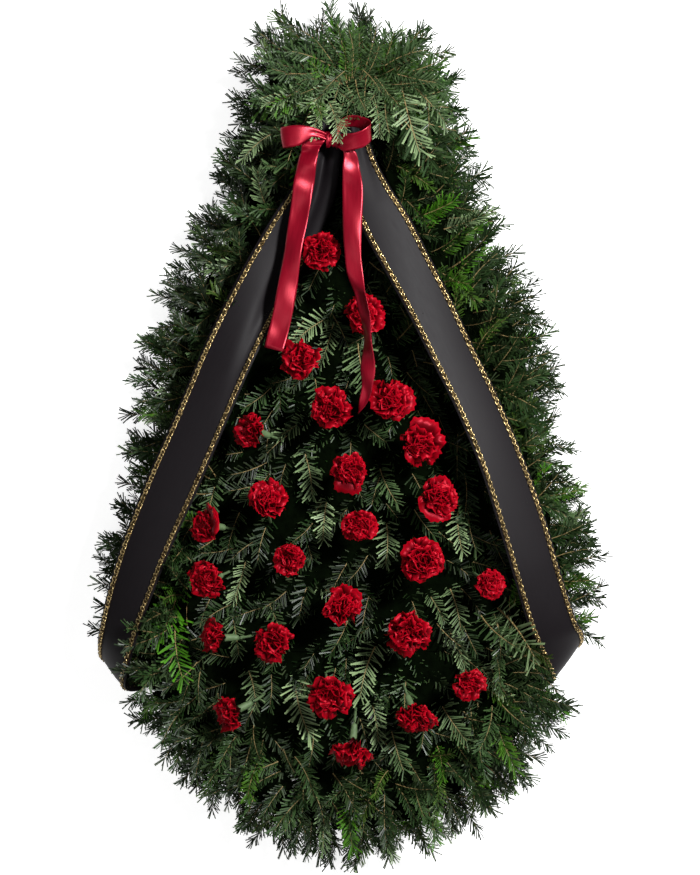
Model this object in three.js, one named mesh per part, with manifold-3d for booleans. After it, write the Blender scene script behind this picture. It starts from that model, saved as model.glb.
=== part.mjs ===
// A teardrop funeral wreath lying on its back, in millimetres, +Z towards the viewer's side.
// A bound straw base carries a roll of fir round its edge, a fir bed on its face with carnations
// standing in it, a fir crown at the top, two black sash tails with gilt edges and a red satin bow.
// The origin is on the flat back of the straw base, +Y runs to the wreath's narrow top and +X to
// its right.
import * as THREE from "three";
import { mergeVertices } from "three/addons/utils/BufferGeometryUtils.js";
import Module from "manifold-3d";

const wasm = await Module();
wasm.setup();

// Teardrop outline: the hull of a lower and an upper circle, given at the straw base.
const LOWER_Y = -296;
const LOWER_RADIUS = 323;
const UPPER_Y = 546;
const UPPER_RADIUS = 80;

// Straw base.
const STRAW_HEIGHT = 75;
const STRAW_EDGE = 24;

// Fir roll round the edge.
const ROLL_SECTORS = 16;
const ROLL_STATIONS = 4;
const OUTLINE_STATIONS = ROLL_SECTORS * 2;
const ROLL_GAP = 0.006;
const ROLL_WIDTH_IN = 50;
const ROLL_CLEARANCE = 2;
const NODE_GAP = 0.6;

// Fir sprays.
const BLADE_THICKNESS = 1.6;
const TWIG_HALF_WIDTH = 2.4;
const NEEDLE_LENGTH = 29;
const NEEDLE_ANGLE = 0.86;
const NEEDLE_LIFT = 0.3;
const ROOT_LENGTH = 16;
const LOWEST_NEEDLE = 4;

// Fir bed on the face.
const BED_TOP = 106;
const BED_TUFT = 6;
const BED_SLOPE = 18;
const BED_MIDDLE_Y = -170;
const BED_ROOT = BED_TOP - 2 * BED_TUFT - 2;
const FACE_ROOT_DEPTH = 12;
const LONG_FACE_SPRAY = 70;
const BED_CUTS = [250, 80, -78, -184, -270, -362];

// Carnations.
const BLOOM_SIDES = 12;
const CALYX_LENGTH = 24;
const CALYX_RADIUS = 9;
const STEM_RADIUS = 2.6;
const BLOOM_GAP = 0.5;

// Ribbons.
const CLOTH_THICKNESS = 1.2;
const CLOTH_CLEARANCE = 4.4;
const EDGE_CLEARANCE = 1.5;

const UP = new THREE.Vector3(0, 0, 1);

// A repeatable number from -1 to 1 for piece number index, one series for each salt.
function jitter(index, salt) {
  const turns = (index + 1) * 0.61803399 + salt * 0.41421356;
  return 2 * (turns - Math.floor(turns)) - 1;
}

function lerp(a, b, share) {
  return a + (b - a) * share;
}

// Solids and geometry.

// A closed mesh as a solid. One that was listed inside out has its triangles turned.
function solidOf(geometry) {
  const bare = geometry.clone();
  bare.deleteAttribute("normal");
  bare.deleteAttribute("uv");
  const merged = mergeVertices(bare, 1e-4);
  const vertProperties = merged.attributes.position.array;
  const triVerts = new Uint32Array(merged.index.array);
  const solid = new wasm.Manifold(new wasm.Mesh({ numProp: 3, vertProperties, triVerts }));
  if (solid.volume() > 0) {
    return solid;
  }
  return new wasm.Manifold(new wasm.Mesh({ numProp: 3, vertProperties, triVerts: triVerts.reverse() }));
}

function geometryOf(solid) {
  const mesh = solid.getMesh();
  const geometry = new THREE.BufferGeometry();
  geometry.setAttribute("position", new THREE.BufferAttribute(mesh.vertProperties, 3));
  geometry.setIndex(new THREE.BufferAttribute(mesh.triVerts, 1));
  geometry.computeVertexNormals();
  return geometry;
}

function largestBody(solid) {
  return solid.decompose().reduce((best, body) => (body.volume() > best.volume() ? body : best));
}

// A closed mesh from vertices and triangles, each triangle three indices.
function closedGeometry(vertices, triangles) {
  const geometry = new THREE.BufferGeometry();
  const flat = vertices.flatMap((v) => [v.x, v.y, v.z]);
  geometry.setAttribute("position", new THREE.Float32BufferAttribute(flat, 3));
  geometry.setIndex(triangles.flat());
  return geometry;
}

// Rings of equal length joined in order. cap lists the triangles that close an end, and is empty
// where an end is already shut to a point.
function loftGeometry(rings, cap = fan(rings[0].length)) {
  const count = rings[0].length;
  const triangles = [];
  for (let r = 0; r + 1 < rings.length; r++) {
    for (let i = 0; i < count; i++) {
      const a = r * count + i;
      const b = r * count + ((i + 1) % count);
      triangles.push([a, b, b + count], [a, b + count, a + count]);
    }
  }
  const last = (rings.length - 1) * count;
  for (const [a, b, c] of cap) {
    triangles.push([a, c, b], [last + a, last + b, last + c]);
  }
  return closedGeometry(rings.flat(), triangles);
}

function fan(count) {
  return Array.from({ length: count - 2 }, (_, i) => [0, i + 1, i + 2]);
}

// The teardrop outline. share runs once round it from the bottom, anticlockwise; outward moves the
// point off it.
const AXIS_LENGTH = UPPER_Y - LOWER_Y;
const SIDE_ANGLE = Math.asin((LOWER_RADIUS - UPPER_RADIUS) / AXIS_LENGTH);
const SIDE_LENGTH = AXIS_LENGTH * Math.cos(SIDE_ANGLE);
const LOWER_ARC = LOWER_RADIUS * (Math.PI / 2 + SIDE_ANGLE);
const UPPER_ARC = UPPER_RADIUS * (Math.PI - 2 * SIDE_ANGLE);
const OUTLINE_LENGTH = 2 * LOWER_ARC + 2 * SIDE_LENGTH + UPPER_ARC;

function outlineAt(share, outward = 0) {
  let left = (share - Math.floor(share)) * OUTLINE_LENGTH;
  let angle;
  let centreY;
  let radius;
  if (left < LOWER_ARC) {
    angle = -Math.PI / 2 + left / LOWER_RADIUS;
    centreY = LOWER_Y;
    radius = LOWER_RADIUS;
  } else if ((left -= LOWER_ARC) < SIDE_LENGTH) {
    angle = SIDE_ANGLE;
    centreY = lerp(LOWER_Y, UPPER_Y, left / SIDE_LENGTH);
    radius = lerp(LOWER_RADIUS, UPPER_RADIUS, left / SIDE_LENGTH);
  } else if ((left -= SIDE_LENGTH) < UPPER_ARC) {
    angle = SIDE_ANGLE + left / UPPER_RADIUS;
    centreY = UPPER_Y;
    radius = UPPER_RADIUS;
  } else if ((left -= UPPER_ARC) < SIDE_LENGTH) {
    angle = Math.PI - SIDE_ANGLE;
    centreY = lerp(UPPER_Y, LOWER_Y, left / SIDE_LENGTH);
    radius = lerp(UPPER_RADIUS, LOWER_RADIUS, left / SIDE_LENGTH);
  } else {
    left -= SIDE_LENGTH;
    angle = Math.PI - SIDE_ANGLE + left / LOWER_RADIUS;
    centreY = LOWER_Y;
    radius = LOWER_RADIUS;
  }
  const normal = new THREE.Vector3(Math.cos(angle), Math.sin(angle), 0);
  const point = normal.clone().multiplyScalar(radius + outward);
  point.y += centreY;
  return { point, normal };
}

function outlineRing(outward, z) {
  return Array.from({ length: OUTLINE_STATIONS }, (_, i) =>
    outlineAt(i / OUTLINE_STATIONS, outward).point.setZ(z),
  );
}

// Straw base: pressed straw with a flat back and a rounded front edge.
function strawBase() {
  return solidOf(
    loftGeometry([
      outlineRing(0, 0),
      outlineRing(0, STRAW_HEIGHT - STRAW_EDGE),
      outlineRing(-STRAW_EDGE, STRAW_HEIGHT),
    ]),
  );
}

// The direction that turns this far from +X in the plane and rises this steeply, both in radians.
function headingOf(turn, steep) {
  const flat = Math.cos(steep);
  return new THREE.Vector3(Math.cos(turn) * flat, Math.sin(turn) * flat, Math.sin(steep));
}

// One flat fir spray: a slim twig with needles down both sides and one at its tip, in a single thin
// blade. It lifts at its sides, arches over at its tip and has its root inside what it grows from.
function spray({ root, heading, roll = 0, length, pairs, arch = 0.14, lowest = LOWEST_NEEDLE }) {
  const along = heading.clone().normalize();
  const side = new THREE.Vector3().crossVectors(UP, along).normalize().applyAxisAngle(along, roll);
  const up = new THREE.Vector3().crossVectors(along, side);
  const first = length * 0.2;
  const pitch = (length - first - NEEDLE_LENGTH * 0.35) / pairs;
  const points = [];
  const add = (u, v) => {
    const lift = NEEDLE_LIFT * Math.abs(v) - (arch * u * Math.abs(u)) / length;
    const point = root.clone().addScaledVector(along, u).addScaledVector(side, v).addScaledVector(up, lift);
    if (u > 0) {
      point.z = Math.max(point.z, lowest);
    }
    points.push(point);
    return points.length - 1;
  };
  const faces = [];
  const leftEdge = [add(-ROOT_LENGTH, TWIG_HALF_WIDTH)];
  const rightEdge = [add(-ROOT_LENGTH, -TWIG_HALF_WIDTH)];
  let left = leftEdge[0];
  let right = rightEdge[0];
  for (let k = 0; k <= pairs; k++) {
    const u = first + k * pitch;
    const nextLeft = add(u, TWIG_HALF_WIDTH * (1 - 0.5 * (k / pairs)));
    const nextRight = add(u, -TWIG_HALF_WIDTH * (1 - 0.5 * (k / pairs)));
    faces.push([left, right, nextRight], [left, nextRight, nextLeft]);
    if (k > 0) {
      const reach = NEEDLE_LENGTH * (1 - 0.3 * Math.abs(k / pairs - 0.45));
      const tipU = u - pitch * 0.5 + reach * Math.cos(NEEDLE_ANGLE);
      const tipV = TWIG_HALF_WIDTH + reach * Math.sin(NEEDLE_ANGLE);
      const leftTip = add(tipU, tipV);
      const rightTip = add(tipU, -tipV);
      faces.push([left, nextLeft, leftTip], [right, rightTip, nextRight]);
      leftEdge.push(leftTip);
      rightEdge.push(rightTip);
    }
    leftEdge.push(nextLeft);
    rightEdge.push(nextRight);
    left = nextLeft;
    right = nextRight;
  }
  const tip = add(length, 0);
  faces.push([left, right, tip]);
  const edge = [...rightEdge, tip, ...leftEdge.reverse()];
  return solidOf(thickened(points, faces, edge, up, BLADE_THICKNESS));
}

// A thin closed blade from one layer of points and faces; edge is its border, anticlockwise seen from up.
function thickened(points, faces, edge, up, thickness) {
  const half = up.clone().multiplyScalar(thickness / 2);
  const vertices = [...points.map((p) => p.clone().add(half)), ...points.map((p) => p.clone().sub(half))];
  const below = points.length;
  const triangles = [];
  for (const [a, b, c] of faces) {
    triangles.push([a, b, c], [a + below, c + below, b + below]);
  }
  edge.forEach((a, i) => {
    const b = edge[(i + 1) % edge.length];
    triangles.push([a, a + below, b + below], [a, b + below, b]);
  });
  return closedGeometry(vertices, triangles);
}

// Ribbons: each is a list of stations, a left-edge and a right-edge point, joined by a thin closed strip.
// The sash tails run from the bow over the roll, turn round its outer side and are tucked under it.
const LEFT_SASH = [
  [[-44, 532, 142], [-10, 532, 146]],
  [[-67, 469, 150], [-13, 469, 158]],
  [[-95, 410, 156], [-23, 393, 140]],
  [[-138, 341, 160], [-62, 306, 131]],
  [[-186, 255, 163], [-109, 218, 150]],
  [[-237, 151, 164], [-160, 114, 172]],
  [[-286, 35, 162], [-207, 5, 171]],
  [[-331, -66, 156], [-250, -94, 168]],
  [[-372, -168, 144], [-293, -188, 163]],
  [[-398, -249, 128], [-323, -262, 154]],
  [[-415, -315, 106], [-346, -321, 140]],
  [[-422, -350, 80], [-364, -378, 116]],
  [[-421, -372, 45], [-376, -424, 78]],
  [[-404, -376, 16], [-362, -436, 24]],
  [[-356, -352, 9], [-334, -426, 9]],
];
const RIGHT_SASH = [
  [[-5, 532, 146], [28, 532, 142]],
  [[-7, 470, 158], [43, 466, 150]],
  [[-2, 403, 166], [69, 413, 154]],
  [[26, 334, 170], [100, 365, 154]],
  [[58, 275, 173], [133, 301, 152]],
  [[97, 204, 175], [171, 227, 148]],
  [[138, 122, 176], [208, 148, 145]],
  [[178, 41, 176], [246, 71, 143]],
  [[217, -53, 174], [288, -28, 140]],
  [[250, -156, 168], [326, -132, 134]],
  [[275, -239, 158], [352, -219, 126]],
  [[300, -318, 138], [381, -305, 106]],
  [[321, -366, 112], [397, -332, 80]],
  [[341, -414, 78], [395, -350, 45]],
  [[326, -428, 20], [374, -354, 16]],
  [[312, -424, 9], [346, -342, 9]],
];
// The bow's two loops and two tails leave one knot, which the crown covers.
const KNOT_CENTRE = new THREE.Vector3(-26, 486, 181);
const KNOT_HALF = new THREE.Vector3(15, 21, 10);
const LEFT_LOOP = [
  [[-34, 497, 184], [-34, 484, 184]],
  [[-56, 505, 194], [-58, 489, 192]],
  [[-80, 508, 199], [-82, 475, 198]],
  [[-98, 507, 197], [-98, 473, 196]],
  [[-111, 505, 187], [-107, 472, 186]],
  [[-98, 503, 177], [-96, 474, 177]],
  [[-70, 498, 175], [-70, 480, 175]],
  [[-34, 492, 178], [-34, 482, 178]],
];
const RIGHT_LOOP = [
  [[-20, 494, 186], [-20, 476, 182]],
  [[-8, 494, 198], [-8, 467, 190]],
  [[8, 494, 208], [8, 468, 196]],
  [[24, 499, 210], [24, 472, 198]],
  [[35, 507, 206], [35, 480, 194]],
  [[37, 514, 198], [38, 489, 185]],
  [[29, 521, 190], [30, 500, 174]],
  [[14, 526, 185], [15, 508, 168]],
  [[0, 526, 184], [0, 509, 168]],
  [[-12, 519, 184], [-12, 503, 170]],
  [[-20, 506, 183], [-20, 490, 176]],
];
const LEFT_TAIL = [
  [[-50, 492, 180], [-30, 488, 180]],
  [[-73, 480, 183], [-42, 480, 186]],
  [[-79, 464, 182], [-48, 467, 186]],
  [[-86, 432, 180], [-53, 436, 184]],
  [[-94, 383, 180], [-61, 387, 184]],
  [[-106, 300, 179], [-75, 306, 183]],
  [[-122, 209, 180], [-89, 214, 184]],
  [[-138, 146, 182], [-107, 138, 186]],
];
const RIGHT_TAIL = [
  [[-24, 490, 181], [-8, 490, 181]],
  [[-8, 466, 182], [12, 467, 182]],
  [[-9, 440, 182], [19, 440, 181]],
  [[-9, 400, 184], [24, 400, 182]],
  [[-8, 325, 186], [22, 325, 188]],
  [[0, 270, 184], [22, 262, 198]],
  [[10, 225, 186], [30, 222, 204]],
  [[23, 171, 188], [41, 169, 208]],
  [[24, 116, 190], [43, 115, 210]],
  [[22, 78, 194], [36, 72, 206]],
  [[14, 42, 192], [17, 36, 200]],
];

function ribbonGeometry(stations, thickness) {
  const points = [];
  const faces = [];
  const normals = [];
  stations.forEach(([left, right], i) => {
    const [before] = stations[Math.max(i - 1, 0)];
    const [after] = stations[Math.min(i + 1, stations.length - 1)];
    const run = new THREE.Vector3(...after).sub(new THREE.Vector3(...before));
    const across = new THREE.Vector3(...right).sub(new THREE.Vector3(...left));
    const normal = run.cross(across).normalize();
    normals.push(normal, normal);
    points.push(new THREE.Vector3(...left), new THREE.Vector3(...right));
    if (i > 0) {
      const a = 2 * i - 2;
      faces.push([a, a + 2, a + 3], [a, a + 3, a + 1]);
    }
  });
  const count = points.length;
  const shift = (p, i, way) => p.clone().addScaledVector(normals[i], (way * thickness) / 2);
  const vertices = [...points.map((p, i) => shift(p, i, 1)), ...points.map((p, i) => shift(p, i, -1))];
  const triangles = [];
  for (const [a, b, c] of faces) {
    triangles.push([a, c, b], [a + count, b + count, c + count]);
  }
  const left = Array.from({ length: stations.length }, (_, i) => 2 * i);
  const right = left.map((i) => i + 1).reverse();
  const edge = [...left, ...right];
  edge.forEach((a, i) => {
    const b = edge[(i + 1) % edge.length];
    triangles.push([a, b, b + count], [a, b + count, a + count]);
  });
  return closedGeometry(vertices, triangles);
}

function ribbon(stations) {
  return solidOf(ribbonGeometry(stations, CLOTH_THICKNESS));
}

// The room round a strip, wider and thicker than it, so that fir is cut clear of it.
function ribbonRoom(stations) {
  const last = stations.length - 1;
  const beyond = (from, to) => to.map((point, side) => movedFrom(from[side], point, EDGE_CLEARANCE));
  const longer = [
    beyond(stations[1], stations[0]),
    ...stations.slice(1, last),
    beyond(stations[last - 1], stations[last]),
  ];
  const wider = longer.map(([left, right]) => [
    movedFrom(right, left, EDGE_CLEARANCE),
    movedFrom(left, right, EDGE_CLEARANCE),
  ]);
  return solidOf(ribbonGeometry(wider, CLOTH_CLEARANCE));
}

// The point, moved on by a distance in the direction from another point to it.
function movedFrom(other, point, distance) {
  const way = new THREE.Vector3(...point).sub(new THREE.Vector3(...other)).setLength(distance);
  return way.add(new THREE.Vector3(...point)).toArray();
}

function joined(solids) {
  return solids.reduce((all, one) => all.add(one));
}

function knot(margin) {
  const round = new THREE.SphereGeometry(1, 7, 4);
  const half = KNOT_HALF.clone().addScalar(margin);
  round.scale(half.x, half.y, half.z).translate(KNOT_CENTRE.x, KNOT_CENTRE.y, KNOT_CENTRE.z);
  return solidOf(collapsed(round));
}

const BOW_STRIPS = [LEFT_LOOP, RIGHT_LOOP, LEFT_TAIL, RIGHT_TAIL];

// Carnations: x, y and z of the top of the calyx, the bloom's width, and the way it faces:
// tilt off straight up, and the compass angle of that tilt, in degrees.
const CARNATIONS = [
  { x: -46, y: 303, z: 137, width: 70, tilt: 6, turn: 60 },
  { x: 20, y: 201, z: 124, width: 76, tilt: 12, turn: 0 },
  { x: -74, y: 122, z: 142, width: 74, tilt: 22, turn: 140 },
  { x: -28, y: 44, z: 148, width: 80, tilt: 8, turn: 200 },
  { x: 66, y: 56, z: 146, width: 76, tilt: 12, turn: 60 },
  { x: -146, y: 6, z: 146, width: 64, tilt: 42, turn: 160 },
  { x: 112, y: -10, z: 140, width: 78, tilt: 16, turn: -20 },
  { x: 2, y: -52, z: 148, width: 68, tilt: 10, turn: -90 },
  { x: 146, y: -106, z: 146, width: 76, tilt: 14, turn: 30 },
  { x: -133, y: -119, z: 142, width: 72, tilt: 34, turn: 95 },
  { x: 15, y: -145, z: 150, width: 66, tilt: 10, turn: -60 },
  { x: -222, y: -150, z: 134, width: 64, tilt: 44, turn: 170 },
  { x: -92, y: -206, z: 146, width: 64, tilt: 20, turn: 150 },
  { x: 123, y: -210, z: 148, width: 80, tilt: 12, turn: 110 },
  { x: -222, y: -236, z: 142, width: 68, tilt: 30, turn: 200 },
  { x: 228, y: -240, z: 136, width: 58, tilt: 26, turn: -30 },
  { x: -13, y: -290, z: 148, width: 76, tilt: 26, turn: 75 },
  { x: 98, y: -319, z: 148, width: 80, tilt: 10, turn: -100 },
  { x: -204, y: -334, z: 148, width: 64, tilt: 64, turn: 178 },
  { x: -120, y: -335, z: 146, width: 72, tilt: 12, turn: 220 },
  { x: -33, y: -418, z: 146, width: 82, tilt: 24, turn: -75 },
  { x: 196, y: -404, z: 138, width: 58, tilt: 22, turn: -60 },
  { x: -180, y: -452, z: 146, width: 64, tilt: 64, turn: 205 },
  { x: 104, y: -448, z: 144, width: 74, tilt: 44, turn: -70 },
  { x: 8, y: -500, z: 148, width: 74, tilt: 64, turn: -96 },
];

function facing({ tilt, turn }) {
  return headingOf(THREE.MathUtils.degToRad(turn), THREE.MathUtils.degToRad(90 - tilt));
}

// The bloom's layers of petals as rings, from the calyx up: radius and height as shares of half the width.
// A rim is a layer's edge, notched between petals and ruffled up and down; a fold is the gap above it.
const BLOOM_RINGS = [
  { radius: 1, height: 0.3, rim: true },
  { radius: 0.6, height: 0.4 },
  { radius: 0.92, height: 0.66, rim: true },
  { radius: 0.44, height: 0.62 },
  { radius: 0.7, height: 0.95, rim: true },
  { radius: 0.26, height: 0.82 },
  { radius: 0.38, height: 1.1, rim: true },
];
const BLOOM_CENTRE = 0.86;
const PETAL_NOTCH = 0.13;
const PETAL_RUFFLE = 0.08;
const RUFFLE_ROUGH = 0.25;

function bloomGeometry(width, number) {
  const half = width / 2;
  const rings = BLOOM_RINGS.map(({ radius, height, rim }, level) =>
    Array.from({ length: BLOOM_SIDES }, (_, i) => {
      const angle = ((i + level * 0.5 + number * 0.37) / BLOOM_SIDES) * 2 * Math.PI;
      const wave = i % 2 ? 1 : -1;
      const rough = jitter(i + 5 * level, number);
      const edge = rim ? 1 - PETAL_NOTCH * (wave > 0 ? 1 : 0) + 0.05 * rough : 1 - 0.06 * wave;
      const r = half * radius * edge;
      const h = half * (height + (rim ? PETAL_RUFFLE * (wave + RUFFLE_ROUGH * rough) : 0));
      return new THREE.Vector3(r * Math.cos(angle), r * Math.sin(angle), h);
    }),
  );
  rings.push(Array.from({ length: BLOOM_SIDES }, () => new THREE.Vector3(0, 0, half * BLOOM_CENTRE)));
  rings.unshift(Array.from({ length: BLOOM_SIDES }, () => new THREE.Vector3(0, 0, 0)));
  return geometryOf(solidOf(collapsed(loftGeometry(rings, []))));
}

// Drops the triangles that a ring shrunk to a point leaves without area.
function collapsed(geometry) {
  const merged = mergeVertices(geometry, 1e-4);
  const index = merged.index.array;
  const kept = [];
  for (let i = 0; i < index.length; i += 3) {
    const [a, b, c] = [index[i], index[i + 1], index[i + 2]];
    if (a !== b && b !== c && a !== c) {
      kept.push(a, b, c);
    }
  }
  merged.setIndex(kept);
  return merged;
}

// The room that a bloom needs, so that fir is cut clear of it.
function bloomRoom(carnation) {
  const half = carnation.width / 2;
  const profile = [
    [0, -0.3],
    [0.27 * half, -0.3],
    [1.08 * half, 0.14 * half],
    [1.1 * half, 0.6 * half],
    [0.62 * half, 1.28 * half],
    [0, 1.28 * half],
  ];
  const lathe = new THREE.LatheGeometry(profile.map(([r, z]) => new THREE.Vector2(r, z)), 9);
  lathe.rotateX(Math.PI / 2);
  const turn = new THREE.Quaternion().setFromUnitVectors(UP, facing(carnation));
  lathe.applyQuaternion(turn);
  lathe.translate(carnation.x, carnation.y, carnation.z);
  return solidOf(collapsed(lathe));
}

// Calyx and stem in one: it widens to the calyx under the bloom and bends down into the fir bed.
function stem(carnation) {
  const way = facing(carnation);
  const top = new THREE.Vector3(carnation.x, carnation.y, carnation.z).addScaledVector(way, -BLOOM_GAP);
  const calyxFoot = top.clone().addScaledVector(way, -CALYX_LENGTH);
  const bend = calyxFoot.clone().addScaledVector(way, -6);
  bend.z = Math.max(bend.z - 4, BED_ROOT);
  const root = bend.clone().addScaledVector(way, -6).setZ(STRAW_HEIGHT + 4);
  const path = [root, bend, calyxFoot, top.clone().addScaledVector(way, -0.65 * CALYX_LENGTH), top];
  const radii = [STEM_RADIUS, STEM_RADIUS, STEM_RADIUS + 1, CALYX_RADIUS * 0.8, CALYX_RADIUS * 0.78];
  const across = new THREE.Vector3().crossVectors(way, new THREE.Vector3(0.3, 1, 0)).normalize();
  const rings = path.map((centre, k) => {
    const run = path[Math.min(k + 1, path.length - 1)].clone().sub(path[Math.max(k - 1, 0)]);
    const axis = k === path.length - 1 ? way : run.normalize();
    const first = across.clone().addScaledVector(axis, -across.dot(axis)).normalize();
    const second = new THREE.Vector3().crossVectors(axis, first);
    return Array.from({ length: 5 }, (_, i) => {
      const angle = (i / 5) * 2 * Math.PI;
      return centre
        .clone()
        .addScaledVector(first, radii[k] * Math.cos(angle))
        .addScaledVector(second, radii[k] * Math.sin(angle));
    });
  });
  return solidOf(loftGeometry(rings));
}

// Fir roll: a slim core hugs the straw base's edge, and sprays stand out of it in four rows.
// The core's section, as outward distance from the straw and height.
const ROLL_SECTION = [
  [ROLL_CLEARANCE, 16],
  [17, 24],
  [24, 58],
  [12, 92],
  [-18, 104],
  [-ROLL_WIDTH_IN, 98],
  [-ROLL_WIDTH_IN, STRAW_HEIGHT + NODE_GAP],
  [ROLL_CLEARANCE, STRAW_HEIGHT + NODE_GAP],
];
const ROLL_CAP = THREE.ShapeUtils.triangulateShape(
  ROLL_SECTION.map(([out, z]) => new THREE.Vector2(out, z)),
  [],
);
const ROLL_OUTER_POINTS = [1, 2, 3, 4];
const ROLL_TUFT = 7;
const CREST_POINT = 4;

// The core's outside is tufted: its points stand out and in by turns.
function rollCore(sector) {
  const rings = [];
  for (let s = 0; s <= ROLL_STATIONS; s++) {
    const share = (sector + lerp(ROLL_GAP, 1 - ROLL_GAP, s / ROLL_STATIONS)) / ROLL_SECTORS;
    rings.push(
      ROLL_SECTION.map(([out, z], k) => {
        const tuft = ROLL_OUTER_POINTS.includes(k) ? ROLL_TUFT * ((s + k) % 2 ? 1 : -1) : 0;
        return outlineAt(share, out + tuft).point.setZ(z + (k === CREST_POINT ? tuft / 2 : 0));
      }),
    );
  }
  return solidOf(loftGeometry(rings, ROLL_CAP));
}

// The sprays of one sector of the roll: how far along it, where on the core, how steep and how long.
// The last row stands on the crest, and is left out where the crown covers it.
const ROLL_SPRAYS = [
  { at: 0.14, out: 20, z: 32, rise: 2, length: 92, pairs: 4 },
  { at: 0.64, out: 20, z: 62, rise: 16, length: 92, pairs: 4 },
  { at: 0.38, out: 8, z: 90, rise: 36, length: 96, pairs: 5 },
  { at: 0.86, out: -16, z: 98, rise: 54, length: 76, pairs: 3 },
];
const CREST_ROW = 3;
const CROWN_SECTORS = [7, 8];

function rollSpray(sector, row) {
  const number = sector * ROLL_SPRAYS.length + row;
  const { at, out, z, rise, length, pairs } = ROLL_SPRAYS[row];
  const { point, normal } = outlineAt((sector + at) / ROLL_SECTORS, out);
  const steep = THREE.MathUtils.degToRad(rise + 5 * jitter(number, 1));
  const swing = 0.3 * jitter(number, 2);
  return spray({
    root: point.setZ(z + 4 * jitter(number, 3)),
    heading: normal.applyAxisAngle(UP, swing).multiplyScalar(Math.cos(steep)).setZ(Math.sin(steep)),
    roll: 0.35 * jitter(number, 4),
    length: length + 8 * jitter(number, 5),
    pairs,
  });
}

function rollSector(sector) {
  const underCrown = CROWN_SECTORS.includes(sector);
  const rows = ROLL_SPRAYS.map((_, row) => row).filter((row) => row !== CREST_ROW || !underCrown);
  return joined([rollCore(sector), ...rows.map((row) => rollSpray(sector, row))]);
}

// Fir bed: a low tufted core over the straw's face, cut across into plots, with sprays standing in it.
function bedCore() {
  const outward = -ROLL_WIDTH_IN - NODE_GAP;
  const edge = outlineRing(outward - BED_SLOPE, 0);
  const tufted = [1, 0.66, 0.33].map((share, level) =>
    edge.map(({ x, y }, i) => {
      const z = BED_TOP - BED_TUFT * (1 - jitter(i + 7 * level, level));
      return new THREE.Vector3(x * share, lerp(BED_MIDDLE_Y, y, share), z);
    }),
  );
  const wall = [STRAW_HEIGHT + NODE_GAP, BED_TOP - 2 * BED_TUFT].map((z) => outlineRing(outward, z));
  return solidOf(loftGeometry([...wall, ...tufted]));
}

function plotOf(y) {
  return BED_CUTS.filter((cut) => y < cut).length;
}

function plotCore(core, plot) {
  const high = plot === 0 ? 900 : BED_CUTS[plot - 1] - NODE_GAP / 2;
  const low = plot === BED_CUTS.length ? -900 : BED_CUTS[plot] + NODE_GAP / 2;
  const slab = new THREE.BoxGeometry(1200, high - low, 400);
  slab.translate(0, (high + low) / 2, 0);
  return core.intersect(solidOf(slab));
}

// Sprays on the face: root x and y, and the compass angle they point, in degrees.
const FACE_SPRAYS = [
  { x: 24, y: 268, turn: -55, length: 72 },
  { x: -23, y: 204, turn: -158, length: 76 },
  { x: -23, y: 200, turn: -100, length: 68 },
  { x: 15, y: 170, turn: -87, length: 98 },
  { x: -118, y: 96, turn: -125, length: 62 },
  { x: 112, y: 58, turn: -75, length: 60 },
  { x: -62, y: 40, turn: -135, length: 62 },
  { x: 12, y: 35, turn: -48, length: 62 },
  { x: -80, y: -12, turn: -65, length: 78 },
  { x: 50, y: -40, turn: -80, length: 72 },
  { x: -124, y: -52, turn: -125, length: 62 },
  { x: -35, y: -102, turn: -101, length: 66 },
  { x: 61, y: -131, turn: -75, length: 74 },
  { x: 186, y: -118, turn: -100, length: 70 },
  { x: -172, y: -206, turn: -100, length: 60 },
  { x: -55, y: -250, turn: -30, length: 60 },
  { x: 168, y: -250, turn: -62, length: 68 },
  { x: 54, y: -340, turn: -124, length: 96 },
  { x: 166, y: -320, turn: -60, length: 58 },
  { x: 218, y: -382, turn: -56, length: 62 },
  { x: -172, y: -386, turn: -62, length: 60 },
  { x: -91, y: -400, turn: -88, length: 96 },
  { x: 34, y: -430, turn: -70, length: 72 },
  { x: 150, y: -440, turn: -62, length: 78 },
];

function faceSpray({ x, y, turn, length }, number) {
  const steep = 0.46 + 0.06 * jitter(number, 6);
  return spray({
    root: new THREE.Vector3(x, y, BED_ROOT),
    heading: headingOf(THREE.MathUtils.degToRad(turn), steep),
    roll: 0.16 * jitter(number, 7),
    length: length + FACE_ROOT_DEPTH,
    pairs: length > LONG_FACE_SPRAY ? 4 : 3,
    arch: 0.32,
    lowest: BED_TOP + BLADE_THICKNESS,
  });
}

// Fir crown: a broad bunch at the top of the bed, whose sprays hang forward over the bow's knot.
// Its core's rings, as half width, half depth and height; the narrow foot grows out of the bed.
const CROWN_X = 8;
const CROWN_Y = 556;
const CROWN_SIDES = 12;
const CROWN_FOLD = 0.74;
const CROWN_CORE = [
  [10, 8, 96],
  [10, 8, 112],
  [66, 30, 120],
  [72, 36, 150],
  [46, 24, 178],
];
const CROWN_SPRAYS = [
  { x: -46, y: 566, z: 152, turn: -158, rise: 16, length: 96 },
  { x: -44, y: 552, z: 156, turn: -122, rise: 18, length: 100 },
  { x: -26, y: 546, z: 166, turn: -104, rise: 26, length: 92 },
  { x: 8, y: 544, z: 168, turn: -78, rise: 26, length: 88 },
  { x: 44, y: 546, z: 160, turn: -88, rise: 20, length: 104 },
  { x: 62, y: 554, z: 152, turn: -50, rise: 16, length: 92 },
  { x: 56, y: 570, z: 150, turn: -6, rise: 18, length: 96 },
  { x: 38, y: 578, z: 156, turn: 52, rise: 26, length: 100 },
  { x: -4, y: 582, z: 156, turn: 96, rise: 24, length: 104 },
  { x: -38, y: 576, z: 152, turn: 140, rise: 26, length: 98 },
];

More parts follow.
